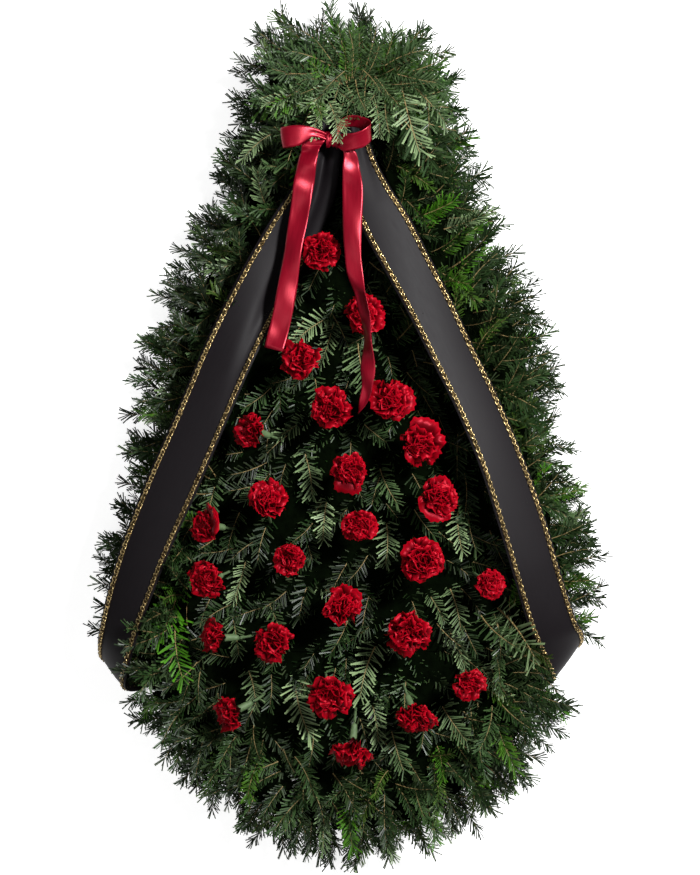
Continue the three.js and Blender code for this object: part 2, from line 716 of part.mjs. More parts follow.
function crown() {
  const rings = CROWN_CORE.map(([halfWidth, halfDepth, z], level) =>
    Array.from({ length: CROWN_SIDES }, (_, i) => {
      const angle = (i / CROWN_SIDES) * 2 * Math.PI;
      const tuft = (i + level) % 2 ? 1 : CROWN_FOLD;
      const [x, y] = [halfWidth * tuft * Math.cos(angle), halfDepth * tuft * Math.sin(angle)];
      return new THREE.Vector3(CROWN_X + x, CROWN_Y + y, z);
    }),
  );
  const sprays = CROWN_SPRAYS.map(({ x, y, z, turn, rise, length }, number) =>
    spray({
      root: new THREE.Vector3(x, y, z),
      heading: headingOf(THREE.MathUtils.degToRad(turn), THREE.MathUtils.degToRad(rise)),
      roll: 0.2 * jitter(number, 9),
      length,
      pairs: 4,
      arch: 0.24,
    }),
  );
  return joined([solidOf(loftGeometry(rings)), ...sprays]);
}

// Materials.
const straw = new THREE.MeshStandardMaterial({ color: 0xb79a5a, roughness: 0.9, metalness: 0 });
const darkFir = new THREE.MeshStandardMaterial({ color: 0x1f3a1c, roughness: 0.6, metalness: 0 });
const paleFir = new THREE.MeshStandardMaterial({ color: 0x55704f, roughness: 0.6, metalness: 0 });
const petals = new THREE.MeshStandardMaterial({ color: 0xb00718, roughness: 0.55, metalness: 0 });
const sashCloth = new THREE.MeshStandardMaterial({ color: 0x1b191b, roughness: 0.5, metalness: 0 });
const redSatin = new THREE.MeshStandardMaterial({ color: 0xb3122e, roughness: 0.3, metalness: 0 });

const wreath = new THREE.Group();

function place(name, geometry, material) {
  const mesh = new THREE.Mesh(geometry, material);
  mesh.name = name;
  wreath.add(mesh);
  return mesh;
}

const twoDigits = (number) => String(number).padStart(2, "0");

// Assembly. Fir is cut clear of the cloth and of the blooms that press into it.
const rooms = [
  ...[LEFT_SASH, RIGHT_SASH, ...BOW_STRIPS].map(ribbonRoom),
  knot(EDGE_CLEARANCE),
  ...CARNATIONS.map(bloomRoom),
];

function meets(a, b) {
  const [p, q] = [a.boundingBox(), b.boundingBox()];
  return [0, 1, 2].every((k) => p.min[k] < q.max[k] && q.min[k] < p.max[k]);
}

function cleared(solid) {
  const left = rooms.filter((room) => meets(solid, room)).reduce((rest, room) => rest.subtract(room), solid);
  return geometryOf(largestBody(left));
}

place("straw_base", geometryOf(strawBase()), straw);

for (let sector = 0; sector < ROLL_SECTORS; sector++) {
  place(`fir_roll_${twoDigits(sector + 1)}`, cleared(rollSector(sector)), darkFir);
}

const core = bedCore();
for (let plot = 0; plot <= BED_CUTS.length; plot++) {
  const stems = CARNATIONS.filter(({ y }) => plotOf(y) === plot).map(stem);
  const sprays = FACE_SPRAYS.map(faceSpray).filter((_, number) => plotOf(FACE_SPRAYS[number].y) === plot);
  const grown = joined([plotCore(core, plot), ...stems, ...sprays]);
  if (plot === 0) {
    place("fir_crown", cleared(grown.add(crown())), paleFir);
  } else {
    place(`fir_bed_${twoDigits(plot)}`, cleared(grown), paleFir);
  }
}

CARNATIONS.forEach((carnation, number) => {
  const bloom = place(`carnation_${twoDigits(number + 1)}`, bloomGeometry(carnation.width, number), petals);
  bloom.position.set(carnation.x, carnation.y, carnation.z);
  bloom.quaternion.setFromUnitVectors(UP, facing(carnation));
});

place("sash_left", geometryOf(ribbon(LEFT_SASH)), sashCloth);
place("sash_right", geometryOf(ribbon(RIGHT_SASH)), sashCloth);
place("bow", geometryOf(joined([knot(0), ...BOW_STRIPS.map(ribbon)])), redSatin);

export default wreath;
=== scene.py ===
import math

import bpy
import numpy as np
from mathutils import Matrix, Vector
from mathutils.bvhtree import BVHTree


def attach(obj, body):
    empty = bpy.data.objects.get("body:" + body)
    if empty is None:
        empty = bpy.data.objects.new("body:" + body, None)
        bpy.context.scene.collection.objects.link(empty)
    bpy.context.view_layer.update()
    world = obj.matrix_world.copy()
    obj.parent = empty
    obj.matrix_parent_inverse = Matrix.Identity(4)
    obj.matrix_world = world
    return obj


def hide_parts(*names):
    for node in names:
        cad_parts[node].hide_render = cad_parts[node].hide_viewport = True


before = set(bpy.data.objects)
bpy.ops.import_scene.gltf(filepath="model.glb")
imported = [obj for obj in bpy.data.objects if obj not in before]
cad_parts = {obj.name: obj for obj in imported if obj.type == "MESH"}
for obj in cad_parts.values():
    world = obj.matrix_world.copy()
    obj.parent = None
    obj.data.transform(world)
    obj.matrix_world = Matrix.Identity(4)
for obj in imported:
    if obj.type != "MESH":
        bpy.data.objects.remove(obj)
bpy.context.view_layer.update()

MM = 0.001

# Camera.
# The photograph looks straight at the wreath's face. The wreath lies on its back here, so the
# camera hangs above it and looks straight down, with the wreath's narrow top at the top.

CAMERA_PLACE = (0.003, -0.0025, 4.0)
FRAME_WIDTH = 1.204
SENSOR_MM = 36

camera_data = bpy.data.cameras.new("camera")
camera_data.sensor_fit = "HORIZONTAL"
camera_data.sensor_width = SENSOR_MM
camera_data.lens = SENSOR_MM * CAMERA_PLACE[2] / FRAME_WIDTH
camera = bpy.data.objects.new("camera", camera_data)
camera.location = CAMERA_PLACE
bpy.context.scene.collection.objects.link(camera)
bpy.context.scene.camera = camera


# Straw base.
# A teardrop plate of pressed straw with a flat back and a rounded front edge. Loose straws lie
# along its side. Everything else is pinned or wired into it.


class Value:
    """A socket in a node tree that can be used in an expression, which adds its math nodes."""

    def __init__(self, nodes, socket):
        self.nodes = nodes
        self.socket = socket

    def is_vector(self):
        return self.socket.type == "VECTOR"

    def math(self, operation, *others):
        vectors = [isinstance(x, tuple) or (isinstance(x, Value) and x.is_vector())
                   for x in (self, *others)]
        if not any(vectors):
            return self.nodes.add("ShaderNodeMath", {"operation": operation}, [self, *others])
        if operation == "MULTIPLY" and not all(vectors):
            vector, factor = (self, *others) if vectors[0] else (*others, self)
            return self.nodes.add("ShaderNodeVectorMath", {"operation": "SCALE"},
                                  {0: vector, "Scale": factor})
        return self.nodes.add("ShaderNodeVectorMath", {"operation": operation}, [self, *others])

    def __add__(self, other):
        return self.math("ADD", other)

    def __sub__(self, other):
        return self.math("SUBTRACT", other)

    def __rsub__(self, other):
        return self * -1 + other

    def __mul__(self, other):
        return self.math("MULTIPLY", other)

    def __truediv__(self, other):
        return self.math("DIVIDE", other)

    def __pow__(self, other):
        return self.math("POWER", other)

    def __neg__(self):
        return self * -1

    __radd__, __rmul__ = __add__, __mul__

    def sin(self):
        return self.math("SINE")

    def cos(self):
        return self.math("COSINE")

    def cross(self, other):
        return self.math("CROSS_PRODUCT", other)

    def unit(self):
        return self.math("NORMALIZE")

    def also(self, name):
        """Another output of the same node."""
        return Value(self.nodes, self.socket.node.outputs[name])


class Nodes:
    """A node tree to which nodes are added by type, settings and socket values."""

    def __init__(self, tree):
        self.tree = tree

    def add(self, kind, settings=None, values=(), out=0):
        node = self.tree.nodes.new(kind)
        for name, setting in (settings or {}).items():
            setattr(node, name, setting)
        for key, value in values.items() if isinstance(values, dict) else enumerate(values):
            for each in value if isinstance(value, list) else [value]:
                if isinstance(each, Value):
                    self.tree.links.new(each.socket, node.inputs[key])
                else:
                    node.inputs[key].default_value = each
        return Value(self, node.outputs[out])

    def xyz(self, x, y, z):
        return self.add("ShaderNodeCombineXYZ", None, [x, y, z])


class Shader(Nodes):
    """A material's node tree round one Principled BSDF."""

    def __init__(self, name, **fixed):
        self.material = bpy.data.materials.new(name)
        self.material.use_nodes = True
        super().__init__(self.material.node_tree)
        self.bsdf = self.tree.nodes["Principled BSDF"]
        for socket, value in fixed.items():
            self.bsdf.inputs[socket.replace("_", " ")].default_value = value

    def place(self):
        return self.add("ShaderNodeTexCoord").also("Object")

    def attribute(self, name, out="Fac"):
        return self.add("ShaderNodeAttribute", {"attribute_name": name}, out=out)

    def noise(self, place, scale, detail=3):
        return self.add("ShaderNodeTexNoise", None,
                        {"Vector": place, "Scale": scale, "Detail": detail})

    def colour(self, value):
        return (*value, 1) if isinstance(value, tuple) else value

    def mix(self, share, first, second):
        values = {0: share, 6: self.colour(first), 7: self.colour(second)}
        return self.add("ShaderNodeMix", {"data_type": "RGBA"}, values, out=2)

    def bump(self, height, strength, distance):
        values = {"Height": height, "Strength": strength, "Distance": distance}
        return self.add("ShaderNodeBump", None, values)

    def feed(self, **links):
        for socket, value in links.items():
            self.tree.links.new(value.socket, self.bsdf.inputs[socket.replace("_", " ")])
        return self.material


class Geometry(Nodes):
    """A Geometry Nodes tree with named inputs, which also works as a group in another tree."""

    KINDS = {float: "NodeSocketFloat", int: "NodeSocketInt"}

    def __init__(self, name, takes_geometry=True, **inputs):
        super().__init__(bpy.data.node_groups.new(name, "GeometryNodeTree"))
        if takes_geometry:
            self.tree.interface.new_socket("Geometry", in_out="INPUT",
                                           socket_type="NodeSocketGeometry")
        for label, start in inputs.items():
            socket = self.tree.interface.new_socket(label.replace("_", " "), in_out="INPUT",
                                                    socket_type=self.KINDS[type(start)])
            socket.default_value = start
        self.tree.interface.new_socket("Geometry", in_out="OUTPUT",
                                       socket_type="NodeSocketGeometry")
        self.entry = self.tree.nodes.new("NodeGroupInput")

    def given(self, name):
        return Value(self, self.entry.outputs[name])

    def index(self):
        return self.add("GeometryNodeInputIndex")

    def random(self, low, high, seed, identity=None):
        values = {2: low, 3: high, 8: seed}
        if identity is not None:
            values[7] = identity
        return self.add("FunctionNodeRandomValue", {"data_type": "FLOAT"}, values, out=1)

    def named(self, name, kind="FLOAT"):
        return self.add("GeometryNodeInputNamedAttribute", {"data_type": kind}, {"Name": name})

    def store(self, geometry, name, value):
        settings = {"data_type": "FLOAT", "domain": "POINT"}
        return self.add("GeometryNodeStoreNamedAttribute", settings,
                        {"Geometry": geometry, "Name": name, "Value": value})

    def without(self, geometry, *names):
        for name in names:
            geometry = self.add("GeometryNodeRemoveAttribute", None,
                                {"Geometry": geometry, "Name": name})
        return geometry

    def join(self, *parts):
        return self.add("GeometryNodeJoinGeometry", None, {0: list(parts)})

    def position(self):
        return self.add("ShaderNodeSeparateXYZ", None, [self.add("GeometryNodeInputPosition")])

    def moved(self, geometry, place):
        return self.add("GeometryNodeSetPosition", None, {"Geometry": geometry, "Position": place})

    def turned(self, axis, direction, second_axis, second_direction):
        """The turn that points one axis exactly, and a second one as nearly as it can."""
        return self.add("FunctionNodeAxesToRotation",
                        {"primary_axis": axis, "secondary_axis": second_axis},
                        {0: direction, 1: second_direction})

    def copies(self, points, geometry, **values):
        """Copies of a geometry on points, as geometry of their own."""
        values = {name.replace("_", " "): value for name, value in values.items()}
        placed = self.add("GeometryNodeInstanceOnPoints", None,
                          {"Points": points, "Instance": geometry, **values})
        return self.add("GeometryNodeRealizeInstances", None, [placed])

    def smoothed(self, geometry):
        return self.add("GeometryNodeSetShadeSmooth", None, {"Geometry": geometry})

    def circle(self, sides, radius):
        return self.add("GeometryNodeCurvePrimitiveCircle", None,
                        {"Resolution": sides, "Radius": radius})

    def kept_low(self, geometry, floor_gap, top):
        """Presses what would reach below the floor, or far above a top height, nearly flat."""
        spot = self.position()
        height = spot.also("Z")
        height = height.math("MAXIMUM", height * 0.05 + floor_gap)
        height = height.math("MINIMUM", (height - top) * 0.2 + top)
        return self.moved(geometry, self.xyz(spot.also("X"), spot.also("Y"), height))

    def painted(self, geometry, material):
        return self.add("GeometryNodeSetMaterial", None,
                        {"Geometry": geometry, "Material": material})

    def result(self, geometry):
        exit_node = self.tree.nodes.new("NodeGroupOutput")
        self.tree.links.new(geometry.socket, exit_node.inputs[0])


def new_object(name, vertices, faces=(), material=None):
    mesh = bpy.data.meshes.new(name)
    mesh.from_pydata([tuple(v) for v in vertices], [], [tuple(f) for f in faces])
    mesh.update()
    if material:
        mesh.materials.append(material)
    thing = bpy.data.objects.new(name, mesh)
    bpy.context.scene.collection.objects.link(thing)
    return thing


def run_tree(thing, geometry, first=False, **values):
    """Runs a Geometry Nodes tree on an object, before its other modifiers if it comes first."""
    modifier = thing.modifiers.new(geometry.tree.name, "NODES")
    if first:
        thing.modifiers.move(len(thing.modifiers) - 1, 0)
    modifier.node_group = geometry.tree
    for item in geometry.tree.interface.items_tree:
        label = item.name.replace(" ", "_")
        if item.in_out == "INPUT" and label in values:
            modifier[item.identifier] = values[label]
    return made_plain(thing)


def made_plain(thing):
    graph = bpy.context.evaluated_depsgraph_get()
    mesh = bpy.data.meshes.new_from_object(thing.evaluated_get(graph),
                                           preserve_all_data_layers=True, depsgraph=graph)
    thing.modifiers.clear()
    old = thing.data
    thing.data = mesh
    bpy.data.meshes.remove(old)
    mesh.name = thing.name
    return thing


def fixed(piece, slot, *nodes):
    """The piece is fastened to the wreath and stands for these solids, which it hides; slot is not
    used.
    """
    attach(piece, "root")
    if nodes:
        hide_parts(*nodes)
    return piece


def jitter(index, salt):
    """A repeatable number from -1 to 1 for piece number index, one series for each salt."""
    turns = math.sin((index + 1) * 12.9898 + salt * 78.233) * 43758.5453
    return 2 * (turns % 1) - 1


def lofted(rings):
    """Vertices and faces of a closed skin over rings of equal length, with flat ends."""
    count = len(rings[0])
    faces = [tuple(reversed(range(count)))]
    for r in range(len(rings) - 1):
        for i in range(count):
            j = (i + 1) % count
            faces.append((r * count + i, r * count + j, (r + 1) * count + j, (r + 1) * count + i))
    last = (len(rings) - 1) * count
    faces.append(tuple(range(last, last + count)))
    return [v for ring in rings for v in ring], faces


# The outline is the hull of a lower and an upper circle, given at the straw base.
LOWER_Y, LOWER_RADIUS = -0.296, 0.323
UPPER_Y, UPPER_RADIUS = 0.546, 0.080
SIDE_ANGLE = math.asin((LOWER_RADIUS - UPPER_RADIUS) / (UPPER_Y - LOWER_Y))
SIDE_LENGTH = (UPPER_Y - LOWER_Y) * math.cos(SIDE_ANGLE)
LOWER_ARC = LOWER_RADIUS * (math.pi / 2 + SIDE_ANGLE)
UPPER_ARC = UPPER_RADIUS * (math.pi - 2 * SIDE_ANGLE)
OUTLINE_LENGTH = 2 * LOWER_ARC + 2 * SIDE_LENGTH + UPPER_ARC


def outline_at(share, outward=0.0):
    """A point of the outline and its outward direction; share runs anticlockwise from the bottom."""
    share %= 1
    mirrored = share > 0.5
    left = (1 - share if mirrored else share) * OUTLINE_LENGTH
    if left < LOWER_ARC:
        angle = -math.pi / 2 + left / LOWER_RADIUS
        centre, radius = LOWER_Y, LOWER_RADIUS
    elif left < LOWER_ARC + SIDE_LENGTH:
        along = (left - LOWER_ARC) / SIDE_LENGTH
        angle = SIDE_ANGLE
        centre = LOWER_Y + (UPPER_Y - LOWER_Y) * along
        radius = LOWER_RADIUS + (UPPER_RADIUS - LOWER_RADIUS) * along
    else:
        angle = SIDE_ANGLE + (left - LOWER_ARC - SIDE_LENGTH) / UPPER_RADIUS
        centre, radius = UPPER_Y, UPPER_RADIUS
    if mirrored:
        angle = math.pi - angle
    normal = Vector((math.cos(angle), math.sin(angle), 0))
    return normal * (radius + outward) + Vector((0, centre, 0)), normal


def outline_ring(outward, z, count):
    return [outline_at(i / count, outward)[0] + Vector((0, 0, z)) for i in range(count)]


STRAW_SECTION = [(-24, 0), (-3, 0), (0, 3), (0, 51), (-3, 60), (-9, 68), (-16, 73), (-24, 75)]
STRAW_STATIONS = 120
STRAW_COUNT = 1500
STRAW_LENGTH, STRAW_WIDTH = 0.05, 0.0022
FLOOR_GAP = 0.002
STRAW_LIGHT, STRAW_DARK = (0.42, 0.28, 0.11), (0.16, 0.09, 0.03)


def straw_material():
    shader = Shader("straw", Specular_IOR_Level=0.3)
    stretched = shader.add("ShaderNodeMapping", None,
                           {"Vector": shader.place(), "Scale": (1, 1, 9)})
    fibre = shader.noise(stretched, 90, 5)
    patch = shader.noise(shader.place(), 12)
    colour = shader.mix(fibre, STRAW_DARK, STRAW_LIGHT)
    colour = shader.mix(patch * 0.5, colour, STRAW_DARK)
    return shader.feed(Base_Color=colour, Roughness=0.6 + fibre * 0.3,
                       Normal=shader.bump(fibre, 0.6, 0.002))


def loose_straws(material):
    """Flat straws scattered over the faces that carry them, turned along the rim."""
    tree = Geometry("loose_straws", Count=STRAW_COUNT, Length=STRAW_LENGTH, Width=STRAW_WIDTH)
    body = tree.given("Geometry")
    slope = tree.add("ShaderNodeSeparateXYZ", None, [tree.add("GeometryNodeInputNormal")])
    upright = slope.also("Z").math("ABSOLUTE").math("LESS_THAN", 0.8)
    scattered = tree.add("GeometryNodeDistributePointsOnFaces", None,
                         {"Mesh": body, "Selection": upright, "Density": tree.given("Count"),
                          "Seed": 3})
    straw = tree.add("GeometryNodeMeshCube", None,
                     {"Size": tree.xyz(tree.given("Length"), tree.given("Width"),
                                       tree.given("Width") * 0.5),
                      "Vertices X": 3, "Vertices Y": 2, "Vertices Z": 2})
    normal = scattered.also("Normal")
    level = normal.cross((0.0, 0.0, 1.0))
    tilted = level + tree.xyz(0.0, 0.0, tree.random(-0.3, 0.3, 5))
    loose = tree.copies(scattered, straw, Rotation=tree.turned("X", tilted, "Z", normal),
                        Scale=tree.random(0.5, 1.2, 8))
    loose = tree.kept_low(loose, FLOOR_GAP, 1.0)
    tree.result(tree.painted(tree.join(body, loose), material))
    return tree


straw_rings = [outline_ring(out * MM, z * MM, STRAW_STATIONS) for out, z in STRAW_SECTION]
straw_base = new_object("straw_base_body", *lofted(straw_rings))
run_tree(straw_base, loose_straws(straw_material()))
fixed(straw_base, "straw", "straw_base")


# Fir roll.
# Short cut fir twigs, laid in overlapping rows round the rim and wired down over the straw. Their
# tips point out and forward, so the wreath's edge is ragged. Most are dark, a few are fresh green.
# A near-black core under them is painted shade in the gaps, and the twigs on the side towards the
# key light are painted lighter.

NEEDLE_LENGTH, NEEDLE_WIDTH, NEEDLE_THICKNESS, NEEDLE_CURL = 0.025, 0.0026, 0.0009, 0.005
TWIG_RADIUS = 0.0013
HIGHEST_FIR = 0.210
DEEP_FIR, RIM_FIR = (0.003, 0.008, 0.002), (0.009, 0.030, 0.005)
OLIVE_FIR, FRESH_FIR = (0.028, 0.050, 0.007), (0.040, 0.150, 0.004)
GREY_FIR, PALE_FIR = (0.040, 0.074, 0.026), (0.190, 0.262, 0.126)


def needle_material():
    """Waxy fir green: each twig has its own tint, and each needle its own shade, paler the higher it
    is, and darker towards its base.
    """
    shader = Shader("fir_needles", Specular_IOR_Level=0.2)
    tint = shader.attribute("tint", "Color")
    shade = shader.attribute("shade")
    along = shader.attribute("along")
    lighter = shader.mix(0.15, tint, (0.17, 0.24, 0.08))
    colour = shader.mix(shade ** 2 * 0.8, tint, lighter)
    colour = shader.mix((1 - along) * 0.5, colour, DEEP_FIR)
    grain = shader.noise(shader.place(), 900)
    return shader.feed(Base_Color=colour, Roughness=0.36 + shade * 0.25,
                       Normal=shader.bump(grain, 0.25, 0.0004))


def twig_material():
    shader = Shader("fir_twigs", Roughness=0.75)
    bark = shader.noise(shader.place(), 240, 4)
    colour = shader.mix(bark, (0.075, 0.045, 0.014), (0.26, 0.185, 0.065))
    return shader.feed(Base_Color=colour, Normal=shader.bump(bark, 0.6, 0.0008))


def painted_shade_core_material():
    # Painted shade: near black with faint clumps, standing for the shadow in the gaps between twigs.
    shader = Shader("packed_fir", Roughness=1.0, Specular_IOR_Level=0.0)
    clump = shader.noise(shader.place(), 60, 4)
    colour = shader.mix(clump, (0.0002, 0.0004, 0.0002), (0.0016, 0.0030, 0.0010))
    return shader.feed(Base_Color=colour, Normal=shader.bump(clump, 1.0, 0.006))


def spray_tree(needles, twigs):
    """One fir twig along +X, lying flat, with needles down both sides and over its top."""
    tree = Geometry("fir_spray", takes_geometry=False, Length=0.1, Rows=64, Arch=0.15, Bend=0.1,
                    Spread=0.92, Needle=NEEDLE_LENGTH, Width=NEEDLE_WIDTH, Seed=0)
    length, rows, seed = tree.given("Length"), tree.given("Rows"), tree.given("Seed")

    line = tree.add("GeometryNodeCurvePrimitiveLine", {"mode": "POINTS"},
                    {"End": tree.xyz(length, 0.0, 0.0)})
    line = tree.add("GeometryNodeResampleCurve", {"mode": "COUNT"}, {"Curve": line, "Count": 9})
    along = tree.add("GeometryNodeSplineParameter")
    sag = along * along * length
    bent = tree.xyz(0.0, sag * tree.given("Bend"), sag * tree.given("Arch") * -1)
    twig = tree.add("GeometryNodeSetPosition", None, {"Geometry": line, "Offset": bent})
    wood = tree.add("GeometryNodeCurveToMesh", None,
                    {"Curve": twig, "Profile Curve": tree.circle(4, TWIG_RADIUS),
                     "Scale": 1 - along * 0.65, "Fill Caps": True})

    points = tree.add("GeometryNodeCurveToPoints", {"mode": "COUNT"},
                      {"Curve": twig, "Count": rows})
    number = tree.index()
    share = number / rows
    forward = points.also("Tangent")
    aside = tree.xyz(0.0, 0.0, 1.0).cross(forward).unit()
    above = forward.cross(aside)
    side = 1 - 2 * number.math("MODULO", 2)
    spread = tree.given("Spread") * (1 - 0.5 * share ** 3) + tree.random(-0.24, 0.24, seed)
    lift = tree.random(-0.15, 1.0, seed + 1) ** 2 * 1.25 + tree.random(-0.2, 0.2, seed + 2)
    outward = aside * (side * lift.cos()) + above * lift.sin()
    heading = forward * spread.cos() + outward * spread.sin()
    turn = tree.turned("Z", heading, "Y", above + aside * tree.random(-0.5, 0.5, seed + 3))
    taper = (share * 7 + 0.55).math("MINIMUM", 1) * (1 - 0.15 * share ** 4)
    size = taper * tree.random(0.66, 1.08, seed + 4)

    # A needle is a flat four-sided blade with blunt ends and a raised midrib, bent a little up.
    needle = tree.add("GeometryNodeMeshCone", {"fill_type": "NGON"},
                      {"Vertices": 4, "Side Segments": 1, "Radius Top": 0.0, "Radius Bottom": 1.0,
                       "Depth": 1.0})
    flat = tree.position()
    edge = flat.also("X") + flat.also("Y")
    reach = (flat.also("X") - flat.also("Y")) * 0.5 + 0.5
    needle = tree.store(needle, "along", reach)
    blade = tree.xyz(edge * (0.32 + 0.12 * reach) * tree.given("Width"),
                     flat.also("Z") * NEEDLE_THICKNESS + reach * reach * NEEDLE_CURL,
                     reach * tree.given("Needle"))
    needle = tree.moved(needle, blade)
    points = tree.store(points, "shade", tree.random(0.0, 1.0, seed + 5))
    leaves = tree.copies(points, needle, Rotation=turn, Scale=tree.xyz(1.0, 1.0, 1.0) * size)
    tree.result(tree.join(tree.painted(wood, twigs), tree.painted(leaves, needles)))
    return tree


SPRAY_KINDS = [
    {"Arch": 0.10, "Bend": 0.10, "Seed": 11}, {"Arch": 0.24, "Bend": -0.12, "Seed": 23},
    {"Arch": 0.02, "Bend": 0.22, "Seed": 37}, {"Arch": 0.16, "Bend": -0.24, "Seed": 41},
]
SPRAY_SPAN = 0.09


def bunch_tree(name, spray, painted_shade_finish, **kind_values):
    """Sprays of several kinds on the mesh's loose points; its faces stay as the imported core."""
    tree = Geometry(name)
    parts = tree.add("GeometryNodeSeparateGeometry", {"domain": "POINT"},
                     {"Geometry": tree.given("Geometry"),
                      "Selection": tree.named("size").math("GREATER_THAN", 0)})
    variants = []
    for kind in SPRAY_KINDS:
        one = tree.add("GeometryNodeGroup", {"node_tree": spray.tree},
                       {**kind, "Length": SPRAY_SPAN, **kind_values})
        variants.append(tree.add("GeometryNodeGeometryToInstance", None, [one]))
    turn = tree.turned("X", tree.named("heading", "FLOAT_VECTOR"),
                       "Z", tree.named("above", "FLOAT_VECTOR"))
    placed = tree.copies(parts, tree.join(*variants), Pick_Instance=True,
                         Instance_Index=tree.named("kind", "INT"), Rotation=turn,
                         Scale=tree.xyz(1.0, 1.0, 1.0) * tree.named("size"))
    placed = tree.kept_low(placed, FLOOR_GAP, HIGHEST_FIR)
    # The core's faces take the painted-shade finish: near black, for the gaps between the twigs.
    bunch = tree.join(tree.painted(parts.also("Inverted"), painted_shade_finish), placed)
    tree.result(tree.without(bunch, "heading", "above", "size", "kind"))
    return tree


class Spray:
    """A cut twig: where its root is, where it points, how long it is and its tint."""

    def __init__(self, root, turn, rise, length, tint, number=0, roll=0.0):
        self.root = Vector(root)
        flat = math.cos(rise)
        self.heading = Vector((math.cos(turn) * flat, math.sin(turn) * flat, math.sin(rise)))
        aside = Vector((-math.sin(turn), math.cos(turn), 0))
        self.above = self.heading.cross(aside).normalized()
        self.above.rotate(Matrix.Rotation(roll, 3, self.heading))
        self.length = length
        self.tint = tint
        self.kind = number % len(SPRAY_KINDS)


def obstacle(*names):
    """The solids of these nodes as one surface to test against."""
    vertices, faces = [], []
    for name in names:
        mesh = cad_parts[name].data
        shift = len(vertices)
        vertices += [v.co.copy() for v in mesh.vertices]
        faces += [tuple(i + shift for i in face.vertices) for face in mesh.polygons]
    return BVHTree.FromPolygons(vertices, faces)


PRESSING = obstacle(*(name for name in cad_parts
                      if name.startswith(("sash", "bow", "carnation"))))
NEEDLE_ROOM = 0.012
LOWERING, LOWERINGS = 0.1, 7
SHORTEST_SPRAY = 0.034


def first_hit(spray):
    """How far along the spray it or its needles meet cloth or a bloom, or None."""
    aside = spray.heading.cross(spray.above)
    starts = [spray.root + shift * NEEDLE_ROOM
              for shift in (Vector(), spray.above, -spray.above, aside, -aside)]
    hits = [PRESSING.ray_cast(start, spray.heading, spray.length + NEEDLE_ROOM)[3]
            for start in starts]
    hits = [hit for hit in hits if hit is not None]
    return min(hits) if hits else None


def pressed(sprays, lowest):
    """The sprays, bent down as far as a lowest slope or cut short under cloth and blooms."""
    kept = []
    for spray in sprays:
        aside = spray.heading.cross(spray.above)
        down = Matrix.Rotation(LOWERING, 3, aside)
        for _ in range(LOWERINGS):
            if first_hit(spray) is None or spray.heading.z < lowest:
                break
            spray.heading.rotate(down)
            spray.above.rotate(down)
        hit = first_hit(spray)
        if hit is not None:
            spray.length = hit - NEEDLE_ROOM
        if spray.length > SHORTEST_SPRAY:
            kept.append(spray)
    return kept


def tinted(first, second, share):
    return tuple(a + (b - a) * share for a, b in zip(first, second))


def bunch_of(name, core, sprays, tree):
    """A core with sprays growing out of it, as one mesh."""
    vertices, faces = core
    thing = new_object(name, [*vertices, *(s.root for s in sprays)], faces)
    none = len(vertices)
    facts = {
        "heading": ("FLOAT_VECTOR", "vector", [(0, 0, 0)] * none + [s.heading for s in sprays]),
        "above": ("FLOAT_VECTOR", "vector", [(0, 0, 0)] * none + [s.above for s in sprays]),
        "tint": ("FLOAT_COLOR", "color", [(0, 0, 0, 1)] * none + [(*s.tint, 1) for s in sprays]),
        "size": ("FLOAT", "value", [0.0] * none + [s.length / SPRAY_SPAN for s in sprays]),
        "kind": ("INT", "value", [0] * none + [s.kind for s in sprays]),
    }
    for label, (kind, field, values) in facts.items():
        attribute = thing.data.attributes.new(label, kind, "POINT")
        attribute.data.foreach_set(field, np.array(values).ravel())
    return run_tree(thing, tree)


ROLL_SECTORS = 16
ROLL_SECTION = [(-4, 14), (36, 18), (52, 42), (40, 72), (0, 94), (-50, 94), (-50, 77), (-2, 77)]
# Where the roll swells out of the outline or draws in: share of the way round, reach and how far.
SWELLS = [(0.318, 0.042, 34), (0.682, 0.042, 38), (0.086, 0.050, -12), (0.914, 0.050, -28),
          (0.135, 0.022, -16), (0.477, 0.012, 14), (0.500, 0.010, -12), (0.523, 0.012, 30)]
ROLL_CORE_STEPS = 9
# Each row: how many twigs run round the wreath, how far out of the outline and how high their
# roots are, how steeply they rise in degrees, their length and how far they swing aside.
ROLL_ROWS = [
    {"count": 84, "out": 22, "z": 28, "rise": 4, "length": 72, "swing": 0.45},
    {"count": 94, "out": 27, "z": 44, "rise": 9, "length": 70, "swing": 0.60},
    {"count": 98, "out": 25, "z": 60, "rise": 15, "length": 70, "swing": 0.75},
    {"count": 100, "out": 10, "z": 80, "rise": 22, "length": 74, "swing": 0.85},
    {"count": 98, "out": -8, "z": 92, "rise": 26, "length": 74, "swing": 0.95},
    {"count": 92, "out": -26, "z": 94, "rise": 32, "length": 70, "swing": 1.05},
    {"count": 80, "out": -46, "z": 92, "rise": 38, "length": 64, "swing": 1.20},
    {"count": 112, "out": 42, "z": 25, "rise": 6, "length": 58, "swing": 1.40},
    {"count": 104, "out": 46, "z": 48, "rise": 10, "length": 56, "swing": 1.40},
]
# How far a twig strays from its row: along it as a share of the step, outward and up, in slope in
# degrees, in length and in roll; and how far the core's corners stray.
STRAY_ALONG, STRAY_OUT, STRAY_UP, STRAY_RISE, STRAY_LENGTH, STRAY_ROLL = 0.35, 7, 6, 9, 18, 0.5
CORE_TUFT = 6
# Twigs under the sashes: how far apart they stand and how far off that grid, how high their roots
# are, how far outside the outline they may start and how much cloth they need round their tips.
PROP_STEP, PROP_SHIFT, PROP_ROOT = 0.026, 0.009, 0.080
PROP_OUT, PROP_MARGIN = 0.015, 0.014
PROP_ROWS, PROP_COLUMNS, PROP_PLACES = 21, 16, 160
PROP_LENGTH, PROP_STEEP = 0.110, 1.15


def belly(share):
    """How far the roll swells out of the outline there, in millimetres."""
    return sum(out * math.exp(-((share - place) / reach) ** 2) for place, reach, out in SWELLS)


